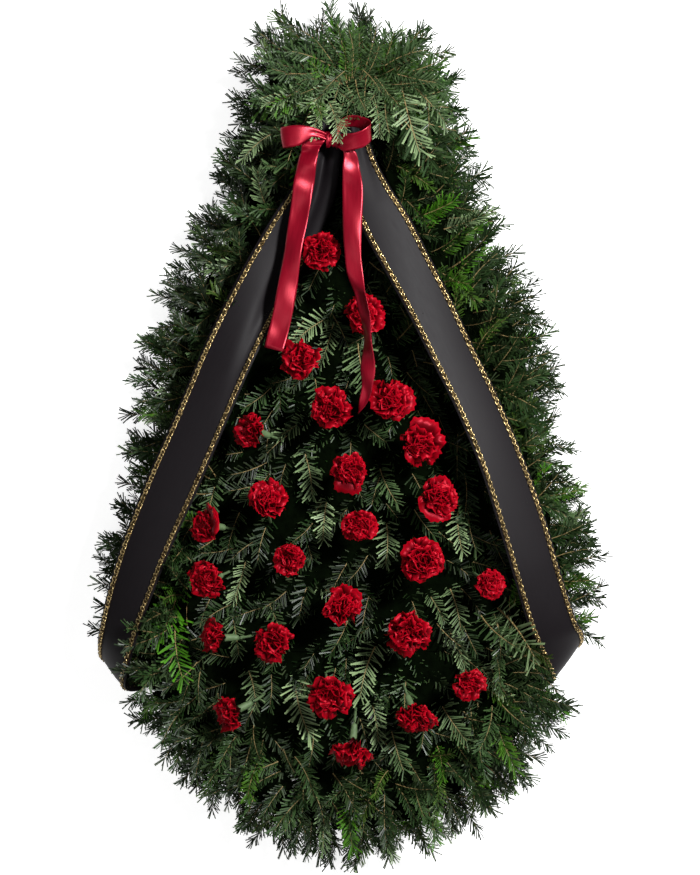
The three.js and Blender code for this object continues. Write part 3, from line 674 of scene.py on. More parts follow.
def rim_tint(number, painted_light_share):
    """Most twigs are dark, some greyer, a few fresh; painted light: twigs on the side turned to the key
    light are tinted lighter and are more often fresh green, those on the far side darker.
    """
    pick = 0.5 + 0.5 * jitter(number, 11)
    # Painted light: the twig's tint share is scaled down on the side away from the key light.
    shade = (0.5 + 0.5 * jitter(number, 12)) * (0.45 + 0.55 * painted_light_share)
    if pick < 0.06 + 0.10 * painted_light_share:
        return tinted(OLIVE_FIR, FRESH_FIR, shade)
    if pick > 0.96:
        return tinted(GREY_FIR, PALE_FIR, shade)
    if pick < 0.30:
        return tinted(RIM_FIR, GREY_FIR, 0.05 + 0.65 * shade)
    return tinted(DEEP_FIR, RIM_FIR, 0.8 * shade)


def roll_sprays():
    """Every twig of the roll with its share of the way round the wreath."""
    found = []
    number = 0
    for level, row in enumerate(ROLL_ROWS):
        for i in range(row["count"]):
            number += 1
            share = (i + 0.5 * (level % 2) + STRAY_ALONG * jitter(number, 1)) / row["count"] % 1
            out = row["out"] + belly(share) + STRAY_OUT * jitter(number, 2)
            root, normal = outline_at(share, out * MM)
            root.z = (row["z"] + STRAY_UP * jitter(number, 3)) * MM
            turn = math.atan2(normal.y, normal.x) + row["swing"] * jitter(number, 4)
            rise = math.radians(row["rise"] + STRAY_RISE * jitter(number, 5))
            length = (row["length"] + STRAY_LENGTH * jitter(number, 6)) * MM
            # Painted light: the tint share grows where the outline faces +x, towards the key light.
            tint = rim_tint(number, 0.5 + 0.5 * normal.x)
            roll = STRAY_ROLL * jitter(number, 7)
            found.append((share, Spray(root, turn, rise, length, tint, number, roll)))
    return found


def sash_props():
    """Dark twigs that stand up under the sashes and carry them, with their share of the way."""
    sashes = obstacle("sash_left", "sash_right")
    places = [outline_at(i / PROP_PLACES) for i in range(PROP_PLACES)]
    found = []
    number = 0
    for row in range(-PROP_ROWS, PROP_ROWS + 1):
        for column in range(-PROP_COLUMNS, PROP_COLUMNS + 1):
            number += 1
            root = Vector((column * PROP_STEP + PROP_SHIFT * jitter(number, 41),
                           row * PROP_STEP + PROP_SHIFT * jitter(number, 42), PROP_ROOT))
            nearest = min(range(PROP_PLACES), key=lambda i: (places[i][0] - root).length)
            point, normal = places[nearest]
            if (root - point).dot(normal) > PROP_OUT:
                continue
            tint = tinted(DEEP_FIR, RIM_FIR, 0.35 + 0.35 * jitter(number, 45))
            steep = PROP_STEEP + 0.20 * jitter(number, 44)
            prop = Spray(root, math.pi * jitter(number, 43), steep,
                         PROP_LENGTH, tint, number)
            aside = prop.heading.cross(prop.above)
            covered = [sashes.ray_cast(root + shift * PROP_MARGIN, prop.heading, PROP_LENGTH)[0]
                       for shift in (aside, -aside, prop.above, -prop.above)]
            if None not in covered:
                found.append((nearest / PROP_PLACES, prop))
    return found


def roll_core(sector):
    """The packed inside of one length of the roll, near black: painted shade in the gaps between twigs.
    """
    rings = []
    for step in range(ROLL_CORE_STEPS):
        share = (sector + step / (ROLL_CORE_STEPS - 1)) / ROLL_SECTORS
        ring = []
        for corner, (out, z) in enumerate(ROLL_SECTION):
            outer = out > 0
            stray = CORE_TUFT * jitter(step * len(ROLL_SECTION) + corner, sector)
            tuft = (stray + belly(share)) * outer
            ring.append(outline_at(share, (out + tuft) * MM)[0] + Vector((0, 0, z * MM)))
        rings.append(ring[::-1])
    return lofted(rings)


fir_needles, fir_twigs, packed_fir = needle_material(), twig_material(), painted_shade_core_material()
fir_spray = spray_tree(fir_needles, fir_twigs)
roll_bunch = bunch_tree("roll_bunch", fir_spray, packed_fir, Rows=60, Spread=0.85,
                        Needle=0.025, Width=0.0031)
all_roll_sprays, all_sash_props = roll_sprays(), sash_props()
for sector in range(ROLL_SECTORS):
    mine = []
    for twigs, lowest in ((all_roll_sprays, -0.3), (all_sash_props, 1.0)):
        mine += pressed([s for share, s in twigs if int(share * ROLL_SECTORS) == sector], lowest)
    sector_name = f"{sector + 1:02d}"
    roll = bunch_of(f"roll_sprays_{sector_name}", roll_core(sector), mine, roll_bunch)
    fixed(roll, "dark_fir", f"fir_roll_{sector_name}")


# Fir bed.
# The wreath's face: a near-black slab, painted shade under the twigs, with dark low twigs, partly
# painted shade too, and paler flat twigs stuck in among the flowers, most of them pointing down and
# outward. Their stems go into the straw.

BED_CUTS = [250, 80, -78, -184, -270, -362]
BED_FOOT, BED_TOP, BED_ROOT = 0.0765, 0.088, 0.080
BED_INSET = 0.051
BED_COLUMNS, BED_LINES, BED_TUFT = 14, 9, 0.004
FACE_STEEP, FACE_ROOT_DEPTH = 0.46, 12
# Twigs on the face: root x and y, the compass angle they point in, their length, and their tint,
# from 0 for dark green to 1 for the pale underside, and 2 for fresh green.
FACE_SPRAYS = [
    (24, 268, -55, 72, 0.5), (-23, 204, -158, 76, 0.8), (-23, 200, -100, 68, 0.6),
    (15, 170, -87, 98, 0.6), (-118, 96, -125, 62, 0.2), (112, 58, -75, 60, 0.3),
    (-62, 40, -135, 62, 0.7), (12, 35, -48, 62, 0.6), (-80, -12, -65, 78, 0.6),
    (50, -40, -80, 72, 0.6), (-124, -52, -125, 62, 0.4), (-35, -102, -101, 66, 1.0),
    (61, -131, -75, 74, 0.6), (186, -118, -100, 70, 1.0), (-172, -206, -100, 60, 0.9),
    (-55, -250, -30, 60, 1.0), (168, -250, -62, 68, 0.8), (54, -340, -124, 96, 0.7),
    (166, -320, -60, 58, 0.9), (218, -382, -56, 62, 0.8), (-172, -386, -62, 60, 0.5),
    (-91, -400, -88, 96, 0.9), (34, -430, -70, 72, 0.8), (150, -440, -62, 78, 0.7),
    (-282, -236, -96, 100, 2), (-290, -300, -96, 104, 2), (129, -258, -50, 50, 0.5),
    (-216, -60, -110, 70, 0.3), (-60, 110, -70, 60, 0.4), (92, 118, -60, 62, 0.3),
    (-200, -290, -70, 66, 0.5), (100, -390, -100, 74, 0.4), (246, -300, -70, 70, 0.5),
    (-16, -372, -110, 60, 0.4), (-140, -270, -60, 60, 0.4), (70, -480, -80, 76, 0.5),
]
# Twigs that stand up steeply beside the right sash and bend over its edge.
OVER_SASH = [(252, -290, -38, 118, 0.8), (222, -300, -60, 100, 0.5)]
OVER_SASH_STEEP = 0.95
FILL_SPRAYS = 180
FILL_LENGTH, FILL_STEEP = 0.070, 0.30
FILL_TURN, FILL_FAN, FILL_SWING = -90, 0.22, 55
FILL_MARGIN = 0.045
# Steps across and up that spread any number of places evenly.
EVEN_ACROSS, EVEN_UP = 0.7548776662, 0.5698402910


def half_width(y):
    """Half the outline's width at a height y."""
    circles = []
    for i in range(61):
        along = i / 60
        circles.append((LOWER_Y + (UPPER_Y - LOWER_Y) * along,
                        LOWER_RADIUS + (UPPER_RADIUS - LOWER_RADIUS) * along))
    return math.sqrt(max(0, *(r * r - (y - c) ** 2 for c, r in circles)))


def bed_core(low, high):
    """A low slab across the wreath between two heights y; its finish is near black, painted shade under
    the twigs.
    """
    rings = []
    for line in range(BED_LINES):
        y = low + (high - low) * line / (BED_LINES - 1)
        half = max(half_width(y) - BED_INSET, 0.004)
        upper = []
        for column in range(BED_COLUMNS + 1):
            share = column / BED_COLUMNS * 2 - 1
            tuft = BED_TUFT * jitter(line * 31 + column, 4)
            edge = 1 - abs(share) ** 6
            upper.append(Vector((share * half, y, BED_FOOT + (BED_TOP - BED_FOOT) * edge + tuft)))
        rings.append([Vector((half, y, BED_FOOT - 0.001)), *reversed(upper),
                      Vector((-half, y, BED_FOOT - 0.001))])
    return lofted([ring[::-1] for ring in rings])


def face_tint(number, pale):
    if pale > 1:
        return FRESH_FIR
    share = min(1, max(0, pale + 0.15 * jitter(number, 31)))
    if share < 0.5:
        return tinted(RIM_FIR, GREY_FIR, share * 2)
    return tinted(GREY_FIR, PALE_FIR, share * 2 - 1)


def face_sprays():
    """The listed twigs between the blooms and over the sashes."""
    found = []
    for number, (x, y, turn, length, pale) in enumerate(FACE_SPRAYS + OVER_SASH):
        steep = FACE_STEEP + 0.06 * jitter(number, 6)
        if number >= len(FACE_SPRAYS):
            steep = OVER_SASH_STEEP
        found.append(Spray((x * MM, y * MM, BED_ROOT), math.radians(turn), steep,
                           (length + FACE_ROOT_DEPTH) * MM, face_tint(number, pale),
                           number, 0.16 * jitter(number, 7)))
    return found


def fill_sprays():
    """Low twigs spread evenly over the bed, tinted very dark: dark fir with painted shade between the
    blooms.
    """
    found = []
    low, high = outline_at(0)[0].y, outline_at(0.5)[0].y
    number = 0
    while len(found) < FILL_SPRAYS:
        number += 1
        x = (number * EVEN_ACROSS % 1 * 2 - 1) * LOWER_RADIUS
        y = low + number * EVEN_UP % 1 * (high - low)
        if abs(x) > half_width(y) - FILL_MARGIN:
            continue
        turn = FILL_TURN + x / MM * FILL_FAN + FILL_SWING * jitter(number, 14)
        # Partly painted shade: the fill twigs run from near black to dark green so the bed reads deep.
        tint = tinted(DEEP_FIR, RIM_FIR, 0.25 + 0.45 * jitter(number, 15))
        steep = FILL_STEEP + 0.12 * jitter(number, 16)
        found.append(Spray((x, y, BED_ROOT), math.radians(turn), steep,
                           FILL_LENGTH * (1 + 0.2 * jitter(number, 17)), tint,
                           number, 0.4 * jitter(number, 18)))
    return found


def plot_of(y):
    """The number of the plot of the bed that y falls in, counted from the top."""
    return sum(y < cut * MM for cut in BED_CUTS)


face_bunch = bunch_tree("face_bunch", fir_spray, packed_fir, Rows=42, Spread=1.05,
                        Needle=0.027, Width=0.0031)
on_the_face = face_sprays() + pressed(fill_sprays(), lowest=0.12)
plot_edges = [outline_at(0.5)[0].y - BED_INSET, *(cut * MM for cut in BED_CUTS),
              outline_at(0)[0].y + BED_INSET]
for plot in range(1, len(BED_CUTS) + 1):
    mine = [s for s in on_the_face if plot_of(s.root.y) == plot]
    bed = bunch_of(f"bed_sprays_{plot:02d}", bed_core(plot_edges[plot + 1], plot_edges[plot]), mine,
                   face_bunch)
    fixed(bed, "dark_fir", f"fir_bed_{plot:02d}")


# Fir crown.
# A bunch of longer twigs at the narrow top, wired on last. It stands over the bow's knot: dark
# twigs point up and back, pale ones hang forward and fan out over the ribbons.

CROWN_MIDDLE = (0.008, 0.556)
# Crown twigs: root x, y and z, compass angle, rise in degrees, length and tint as on the face.
CROWN_SPRAYS = [
    (-78, 572, 169, -142, 14, 62, 0.6), (-40, 552, 171, -118, 12, 62, 0.9),
    (-30, 542, 173, -48, 10, 56, 0.9), (88, 574, 168, -79, 14, 112, 0.8),
    (128, 562, 150, -74, 12, 64, 0.5), (-128, 502, 134, -150, 10, 62, 0.9),
    (-60, 556, 160, -152, 14, 66, 0.6), (-14, 566, 172, -42, 10, 50, 1),
    (40, 560, 169, -66, 12, 64, 0.7), (62, 566, 168, -98, 16, 72, 0.6),
    (112, 572, 156, -40, 14, 74, 0.5), (-90, 572, 152, -170, 16, 70, 0.3),
    (-20, 584, 172, -128, 19, 66, 0.6), (12, 586, 173, -84, 19, 62, 0.6),
    (44, 592, 172, -50, 19, 66, 0.5), (74, 598, 169, -20, 19, 74, 0.4),
    (-54, 598, 169, -168, 19, 70, 0.4), (-30, 610, 169, 150, 22, 70, 0.3),
    (0, 612, 170, 110, 24, 66, 0.3), (30, 612, 170, 70, 24, 68, 0.3),
    (60, 610, 168, 34, 22, 74, 0.3), (90, 600, 160, 4, 19, 76, 0.4),
    (-74, 604, 160, 170, 19, 74, 0.3), (-6, 600, 174, -140, 24, 54, 0.5),
    (24, 602, 175, -40, 24, 54, 0.5), (8, 616, 174, 85, 27, 54, 0.4),
    (56, 580, 171, -120, 21, 56, 0.6), (-46, 576, 171, -92, 21, 60, 0.7),
    (-8, 548, 173, -96, 6, 44, 0.6), (10, 544, 172, -120, 8, 40, 0.4),
    (-12, 592, 172, -100, 17, 62, 0.5), (30, 588, 172, -98, 15, 60, 0.5),
    (-2, 578, 168, -62, 8, 54, 0.2), (14, 572, 167, -118, 8, 54, 0.2),
]
# The bunch's backs and sides: how many twigs, where along the bunch's width they start and how
# high, and the middle and half range of the way they point, in degrees.
CROWN_TIERS = [
    {"count": 16, "y": 560, "z": 118, "turn": 94, "fan": 150, "rise": 0, "length": 108},
    {"count": 16, "y": 574, "z": 134, "turn": 94, "fan": 130, "rise": 10, "length": 98},
    {"count": 15, "y": 590, "z": 146, "turn": 98, "fan": 110, "rise": 22, "length": 76},
    {"count": 13, "y": 606, "z": 152, "turn": 94, "fan": 95, "rise": 30, "length": 58},
    {"count": 13, "y": 592, "z": 158, "turn": 90, "fan": 170, "rise": 32, "length": 54},
]
CROWN_REACH = 0.062
# A twig that lies over the bow's knot: root, compass angle, rise, length and tint.
KNOT_TWIG = ((-0.032, 0.548, 0.186), -62, 13, 0.062, 0.9)
CROWN_CORE = [(10, 8, 86), (10, 8, 112), (60, 28, 120), (64, 32, 142), (40, 20, 156)]
CROWN_SIDES = 12


def crown_sprays():
    found = []
    for number, (x, y, z, turn, rise, length, pale) in enumerate(CROWN_SPRAYS):
        found.append(Spray((x * MM, y * MM, z * MM), math.radians(turn), math.radians(rise),
                           length * MM, face_tint(number, pale), number,
                           0.3 * jitter(number, 9)))
    number = 0
    for tier in CROWN_TIERS:
        for i in range(tier["count"]):
            number += 1
            share = (i + 0.5) / tier["count"] * 2 - 1 + 0.12 * jitter(number, 21)
            turn = tier["turn"] - share * tier["fan"]
            root = (CROWN_MIDDLE[0] + share * CROWN_REACH + 0.008 * jitter(number, 22),
                    tier["y"] * MM - abs(share) * 0.018, (tier["z"] + 5 * jitter(number, 23)) * MM)
            squarer = 0.80 + 0.34 * math.sin(min(1, 2.2 * abs(share)) * math.pi / 2)
            fresh = jitter(number, 28) > 0.62
            tint = (tinted(OLIVE_FIR, FRESH_FIR, 0.5) if fresh
                    else face_tint(number, 0.16 + 0.30 * jitter(number, 29)))
            found.append(Spray(root, math.radians(turn + 22 * jitter(number, 24)),
                               math.radians(tier["rise"] + 8 * jitter(number, 25)),
                               (tier["length"] * squarer + 12 * jitter(number, 26)) * MM, tint,
                               number, 0.5 * jitter(number, 27)))
    return found


def crown_core():
    rings = []
    for wide, deep, z in CROWN_CORE:
        angles = [i / CROWN_SIDES * 2 * math.pi for i in range(CROWN_SIDES)]
        rings.append([Vector((CROWN_MIDDLE[0] + wide * MM * math.cos(a),
                              CROWN_MIDDLE[1] + deep * MM * math.sin(a), z * MM)) for a in angles])
    return lofted(rings)


def both(first, second):
    """Two meshes as one list of vertices and one of faces."""
    shift = len(first[0])
    return first[0] + second[0], first[1] + [tuple(i + shift for i in f) for f in second[1]]


top_bed = bed_core(plot_edges[1], plot_edges[0])
mine = [s for s in on_the_face if plot_of(s.root.y) == 0]
root, turn, rise, length, pale = KNOT_TWIG
knot_twig = Spray(root, math.radians(turn), math.radians(rise), length, face_tint(0, pale))
crown = bunch_of("crown_sprays", both(top_bed, crown_core()),
                 [*mine, *pressed(crown_sprays(), -0.3), knot_twig], face_bunch)
fixed(crown, "pale_fir", "fir_crown")


# Carnations.
# Twenty-five cut carnations: ruffled, toothed petals in layers, with smoother guard petals
# outside, in a pale green calyx on a stem that is stuck into the bed.

# x, y and z of the calyx's top, the bloom's width, its tilt off straight up and that tilt's
# compass angle, in degrees.
CARNATIONS = [
    (-46, 303, 137, 70, 6, 60), (20, 201, 124, 76, 12, 0), (-74, 122, 142, 74, 22, 140),
    (-28, 44, 148, 80, 8, 200), (66, 56, 146, 76, 12, 60), (-146, 6, 146, 64, 42, 160),
    (112, -10, 140, 78, 16, -20), (2, -52, 148, 68, 10, -90), (146, -106, 146, 76, 14, 30),
    (-133, -119, 142, 72, 34, 95), (15, -145, 150, 66, 10, -60), (-222, -150, 134, 64, 44, 170),
    (-92, -206, 146, 64, 20, 150), (123, -210, 148, 80, 12, 110), (-222, -236, 142, 68, 30, 200),
    (228, -240, 136, 58, 26, -30), (-13, -290, 148, 76, 26, 75), (98, -319, 148, 80, 10, -100),
    (-204, -334, 148, 64, 64, 178), (-120, -335, 146, 72, 12, 220), (-33, -418, 146, 82, 24, -75),
    (196, -404, 138, 58, 22, -60), (-180, -452, 146, 64, 64, 205), (104, -448, 144, 74, 44, -70),
    (8, -500, 148, 74, 64, -96),
]
PETALS, PETAL_ACROSS, PETAL_ALONG = 36, 15, 6
PETAL_THICKNESS = 0.0004
GOLDEN_TURN = 2.39996
PETAL_SHADE_AND_VEIN, PETAL_RED = (0.007, 0.0, 0.0002), (0.145, 0.0, 0.003)
PETAL_EDGE_HIGHLIGHT = (0.34, 0.001, 0.008)
PETAL_FAN = 0.62


def petal_material():
    """Matt red petals with painted shade, darkest near the claw deep in the folds, a painted highlight
    along the toothed edge, and darker veins.
    """
    shader = Shader("petals", Roughness=0.4, Specular_IOR_Level=0.35,
                    Specular_Tint=(1.0, 0.10, 0.15, 1.0))
    out = shader.attribute("out")
    vein = shader.noise(shader.place(), 500, 2)
    # Painted shade: darker towards the claw, deep in the bloom.
    body = shader.mix(out ** 4, PETAL_SHADE_AND_VEIN, PETAL_RED)
    # Painted highlight: lighter along the toothed edge.
    colour = shader.mix(out ** 14 * 0.9, body, PETAL_EDGE_HIGHLIGHT)
    colour = shader.mix(vein * 0.35, colour, PETAL_SHADE_AND_VEIN)
    return shader.feed(Base_Color=colour, Normal=shader.bump(vein, 0.3, 0.0006))


def bloom_tree(material):
    """A bloom along +Z from its calyx: each petal is a sheet shaped by its number and place."""
    tree = Geometry("carnation_bloom", Petals=PETALS, Half=0.035, Guard=0.0, Guard_Turn=0.0,
                    Guard_Size=0.16, Seed=0)
    half, seed = tree.given("Half"), tree.given("Seed")
    places = tree.add("GeometryNodeMeshLine", {"mode": "OFFSET"},
                      {"Count": tree.given("Petals"), "Offset": (0, 0, 0)})
    places = tree.store(places, "petal", tree.index())
    sheet = tree.add("GeometryNodeMeshGrid", None,
                     {"Size X": 2.0, "Size Y": 1.0, "Vertices X": PETAL_ACROSS,
                      "Vertices Y": PETAL_ALONG})
    flat = tree.position()
    sheet = tree.store(sheet, "across", flat.also("X"))
    sheet = tree.store(sheet, "out", flat.also("Y") + 0.5)
    petals = tree.copies(places, sheet)

    u, v, petal = tree.named("across"), tree.named("out"), tree.named("petal")
    layer = petal / tree.given("Petals")

    def chance(low, high, salt):
        return tree.random(low, high, seed + salt, petal)

    guard = petal.math("LESS_THAN", 1.5) * tree.given("Guard")
    azimuth = petal * (GOLDEN_TURN * (1 - 0.8 * guard)) + tree.given("Guard Turn")
    azimuth = azimuth + chance(-0.5, 0.5, 1) * (1 - guard)
    open_angle = 1.72 - 1.78 * layer ** 0.75 + chance(-0.32, 0.32, 2) * (1 - guard)
    start = 0.12
    fan = u * PETAL_FAN
    rise = v * fan.cos()
    swept = start + (open_angle - start) * rise
    bend = open_angle - start
    reach = half * (1.22 - 0.24 * layer) * chance(0.74, 1.12, 3)
    reach = reach * (1 + tree.given("Guard Size") * guard)
    tooth = (u * (3 * (PETAL_ACROSS - 1) / 6 * math.pi)).cos() * 0.032 * v ** 8
    reach = reach * (1 + tooth - u ** 4 * (0.06 + 0.24 * guard))
    rho = half * 0.07 + reach * (math.cos(start) - swept.cos()) / bend
    height = reach * (swept.sin() - math.sin(start)) / bend
    away = tree.xyz(azimuth.cos(), azimuth.sin(), 0.0)
    aside = tree.xyz(-azimuth.sin(), azimuth.cos(), 0.0)
    up = tree.xyz(0.0, 0.0, 1.0)
    face = away * swept.cos() - up * swept.sin()
    twist = chance(-0.7, 0.7, 4) * (1 - guard)
    width = reach * v * fan.sin() * (1 + 0.05 * guard)
    ruffle_size = half * (0.09 + 0.11 * layer ** 0.4) * v ** 1.4 * (1 - 0.8 * guard)
    ruffle = (u * chance(6.0, 10.0, 5) + chance(0.0, 6.28, 6)).sin() * ruffle_size
    ruffle = ruffle + (u * chance(13.0, 17.0, 7) + chance(0.0, 6.28, 8)).sin() * ruffle_size * 0.55
    cup = u * u * v * reach * -0.10
    spread = aside * (twist.cos() * width) + face * (twist.sin() * width)
    place = away * rho + up * height + spread + face * (ruffle + cup)
    lumps = tree.add("ShaderNodeTexNoise", None,
                     {"Vector": place + tree.xyz(seed * 0.37, seed * 0.11, 0.0), "Scale": 36.0,
                      "Detail": 1.0}, out=1)
    place = place + (lumps + (-0.5, -0.5, -0.5)) * (half * 0.42)
    petals = tree.without(tree.smoothed(tree.moved(petals, place)), "across", "petal")
    tree.result(tree.painted(petals, material))
    return tree


def facing(tilt, turn):
    """The direction tilted off straight up towards a compass angle, both in degrees."""
    lean, way = math.radians(tilt), math.radians(turn)
    return Vector((math.sin(lean) * math.cos(way), math.sin(lean) * math.sin(way), math.cos(lean)))


def stood(piece, x, y, z, tilt, turn):
    """Turns a piece made along +Z to face its way and moves it to its place, in its mesh."""
    turned = Vector((0, 0, 1)).rotation_difference(facing(tilt, turn)).to_matrix().to_4x4()
    piece.data.transform(Matrix.Translation(Vector((x, y, z)) * MM) @ turned)
    piece.data.update()


# The blooms with two large smooth guard petals, and the angle at which those stand out.
GUARDS = {5: -40, 6: 200, 7: 50, 8: -100, 9: 215, 12: 10, 17: 60, 19: 100, 20: -120}
GUARD_SIZE, GUARD_SIZES = 0.16, {8: 0.34, 12: 0.55, 6: 0.3}
CALYX_SIDES = 10
# The calyx and stem from the mouth down: how far below the mouth and the radius, in millimetres.
CALYX_RINGS = [(1, 5.2), (-4, 7.4), (0, 6.6), (5, 6.2), (13, 6.2), (19, 5.2), (20, 5.6), (24, 3.6),
               (25, 2.4)]
STEM_RADIUS, STEM_STEPS = 0.0023, 7
STEM_FOOT = 0.081


def calyx_material():
    """Bloomy grey-green, cloudy lighter and darker."""
    shader = Shader("calyx", Roughness=0.6, Specular_IOR_Level=0.25)
    cloudy = shader.noise(shader.place(), 160, 4)
    colour = shader.mix(cloudy, (0.030, 0.056, 0.020), (0.095, 0.140, 0.066))
    return shader.feed(Base_Color=colour, Normal=shader.bump(cloudy, 0.2, 0.0006))


def calyx_and_stem(name, x, y, z, tilt, turn, material):
    """The calyx with five teeth round its mouth and the stem that bends down into the bed."""
    way = facing(tilt, turn)
    mouth = Vector((x, y, z)) * MM
    points = [(mouth - way * (below * MM), radius * MM) for below, radius in CALYX_RINGS]
    bend = points[-1][0] - way * 0.012
    foot = Vector((bend.x - way.x * 0.012, bend.y - way.y * 0.012, STEM_FOOT))
    neck = points[-1][0]
    for step in range(1, STEM_STEPS + 1):
        t = step / STEM_STEPS
        middle = neck * (1 - t) ** 2 + bend * (2 * t * (1 - t)) + foot * t * t
        points.append((middle, STEM_RADIUS))
    rings = []
    for number, (middle, radius) in enumerate(points):
        last = points[min(number + 1, len(points) - 1)][0] - points[max(number - 1, 0)][0]
        along = way * -1 if number < len(CALYX_RINGS) else last.normalized()
        aside = along.orthogonal().normalized()
        across = along.cross(aside)
        ring = []
        for i in range(CALYX_SIDES):
            angle = i / CALYX_SIDES * 2 * math.pi
            tooth = 0.003 * (i % 2) * (number == 1)
            ring.append(middle + along * tooth + (aside * math.cos(angle)
                                                  + across * math.sin(angle)) * radius)
        rings.append(ring)
    stem = new_object(name, *lofted(rings), material)
    for face in stem.data.polygons:
        face.use_smooth = True
    return stem


bloom = bloom_tree(petal_material())
calyx_green = calyx_material()
for number, (x, y, z, width, tilt, turn) in enumerate(CARNATIONS):
    flower_name = f"{number + 1:02d}"
    petals = new_object(f"carnation_petals_{flower_name}", [])
    thickness = petals.modifiers.new("thickness", "SOLIDIFY")
    thickness.thickness = PETAL_THICKNESS
    guard_turn = math.radians(GUARDS.get(number + 1, 0))
    run_tree(petals, bloom, first=True, Half=width / 2 * MM, Seed=number * 17,
             Guard=float(number + 1 in GUARDS), Guard_Turn=guard_turn,
             Guard_Size=GUARD_SIZES.get(number + 1, GUARD_SIZE))
    stood(petals, x, y, z, tilt, turn)
    fixed(petals, "petals", f"carnation_{flower_name}")
    stem = calyx_and_stem(f"carnation_stem_{flower_name}", x, y, z, tilt, turn, calyx_green)
    fixed(stem, "pale_fir")


# Black sashes.
# Two tails of black satin ribbon run from under the bow over the wreath's shoulders, turn round
# its rim and are tucked under it. A gilt chain braid is sewn a little inside both long edges.

# Each station: the left-edge and the right-edge point, in millimetres.
LEFT_SASH = [
    ((-44, 532, 142), (-10, 532, 146)), ((-67, 469, 150), (-13, 469, 158)),
    ((-95, 410, 156), (-23, 393, 140)), ((-138, 341, 160), (-62, 306, 131)),
    ((-186, 255, 163), (-109, 218, 150)), ((-237, 151, 164), (-160, 114, 172)),
    ((-286, 35, 162), (-207, 5, 171)), ((-331, -66, 156), (-250, -94, 168)),
    ((-372, -168, 144), (-293, -188, 163)), ((-398, -249, 128), (-323, -262, 154)),
    ((-415, -315, 106), (-346, -321, 140)), ((-422, -350, 80), (-364, -378, 116)),
    ((-421, -372, 45), (-376, -424, 78)), ((-404, -376, 16), (-362, -436, 24)),
    ((-356, -352, 9), (-334, -426, 9)),
]
RIGHT_SASH = [
    ((-5, 532, 146), (28, 532, 142)), ((-7, 470, 158), (43, 466, 150)),
    ((-2, 403, 166), (69, 413, 154)), ((26, 334, 170), (100, 365, 154)),
    ((58, 275, 173), (133, 301, 152)), ((97, 204, 175), (171, 227, 148)),
    ((138, 122, 176), (208, 148, 145)), ((178, 41, 176), (246, 71, 143)),
    ((217, -53, 174), (288, -28, 140)), ((250, -156, 168), (326, -132, 134)),
    ((275, -239, 158), (352, -219, 126)), ((300, -318, 138), (381, -305, 106)),
    ((321, -366, 112), (397, -332, 80)), ((341, -414, 78), (395, -350, 45)),
    ((326, -428, 20), (374, -354, 16)), ((312, -424, 9), (346, -342, 9)),
]
SASH_THICKNESS = 0.0007
SASH_ALONG, SASH_ACROSS = 150, 18
SASH_CROWN = 0.003
BRAID_INSET, BRAID_WIDTH, BRAID_LIFT = 0.0072, 0.0070, 0.0007
LINK_PITCH, LINK_RADIUS, LINK_WIRE = 0.0060, 0.0035, 0.0011
# The tape under the chain: shares of its width off its middle and of its lift.
TAPE_SECTION = [(-0.5, 1.0), (-0.5, 0.5), (0.5, 0.5), (0.5, 1.0)]
# Where the braids come to light: the left inner one from a fold, the others from under the bow.
BRAID_STARTS = {("left", "a"): 0.045, ("left", "b"): 0.21, ("right", "a"): 0.07}
GOLD_LIGHT, GOLD_PAINTED_SHADE = (0.64, 0.48, 0.22), (0.040, 0.023, 0.007)


def smooth_line(points, count):
    """Evenly numbered points of a smooth line through the given ones."""
    given = np.array(points, float)
    given = np.vstack([2 * given[0] - given[1], given, 2 * given[-1] - given[-2]])
    line = []
    for place in np.linspace(0, len(points) - 1, count):
        i = min(int(place), len(points) - 2)
        t = place - i
        a, b, c, d = given[i:i + 4]
        line.append(0.5 * (2 * b + (c - a) * t + (2 * a - 5 * b + 4 * c - d) * t * t
                           + (3 * b - a - 3 * c + d) * t ** 3))
    return np.array(line)


class Strip:
    """A ribbon's smooth surface between its two edges, with relief(u, v) off the flat."""

    def __init__(self, stations, along, relief):
        self.left = smooth_line([left for left, _ in stations], along + 1) * MM
        self.right = smooth_line([right for _, right in stations], along + 1) * MM
        self.along = along
        middle = (self.left + self.right) / 2
        run = np.gradient(middle, axis=0)
        self.normal = np.cross(run, self.right - self.left)
        self.normal /= np.linalg.norm(self.normal, axis=1)[:, None]
        steps = np.linalg.norm(np.diff(middle, axis=0), axis=1)
        self.length = float(steps.sum())
        self.travelled = np.concatenate([[0], np.cumsum(steps)])
        self.relief = relief

    def point(self, u, row, lift=0.0):
        """The point u of the way from the left edge to the right one in a row of the strip."""
        flat = self.left[row] + (self.right[row] - self.left[row]) * u
        return flat + self.normal[row] * (self.relief(u, row / self.along) + lift)

    def width(self, row):
        return float(np.linalg.norm(self.right[row] - self.left[row]))

    def grid(self, across):
        """Vertices, faces and UV places of the whole strip."""
        shares = [i / across for i in range(across + 1)]
        vertices, places = [], []
        for row in range(self.along + 1):
            vertices += [self.point(u, row) for u in shares]
            places += [(u * self.width(row), self.travelled[row]) for u in shares]
        faces = []
        for row in range(self.along):
            for i in range(across):
                a = row * (across + 1) + i
                faces.append((a, a + 1, a + across + 2, a + across + 1))
        return vertices, faces, places


def cloth(name, material, thickness, *grids):
    """One piece of ribbon from one or more grids, given its thickness and a UV map in metres."""
    vertices, faces, places = [], [], []
    for more_vertices, more_faces, more_places in grids:
        shift = len(vertices)
        vertices += list(more_vertices)
        faces += [tuple(i + shift for i in face) for face in more_faces]
        places += more_places
    piece = new_object(name, vertices, faces, material)
    chart = piece.data.uv_layers.new(name="cloth")
    for loop in piece.data.loops:
        chart.data[loop.index].uv = places[loop.vertex_index]
    for face in piece.data.polygons:
        face.use_smooth = True
    modifier = piece.modifiers.new("thickness", "SOLIDIFY")
    modifier.thickness = thickness
    modifier.offset = 0
    return made_plain(piece)


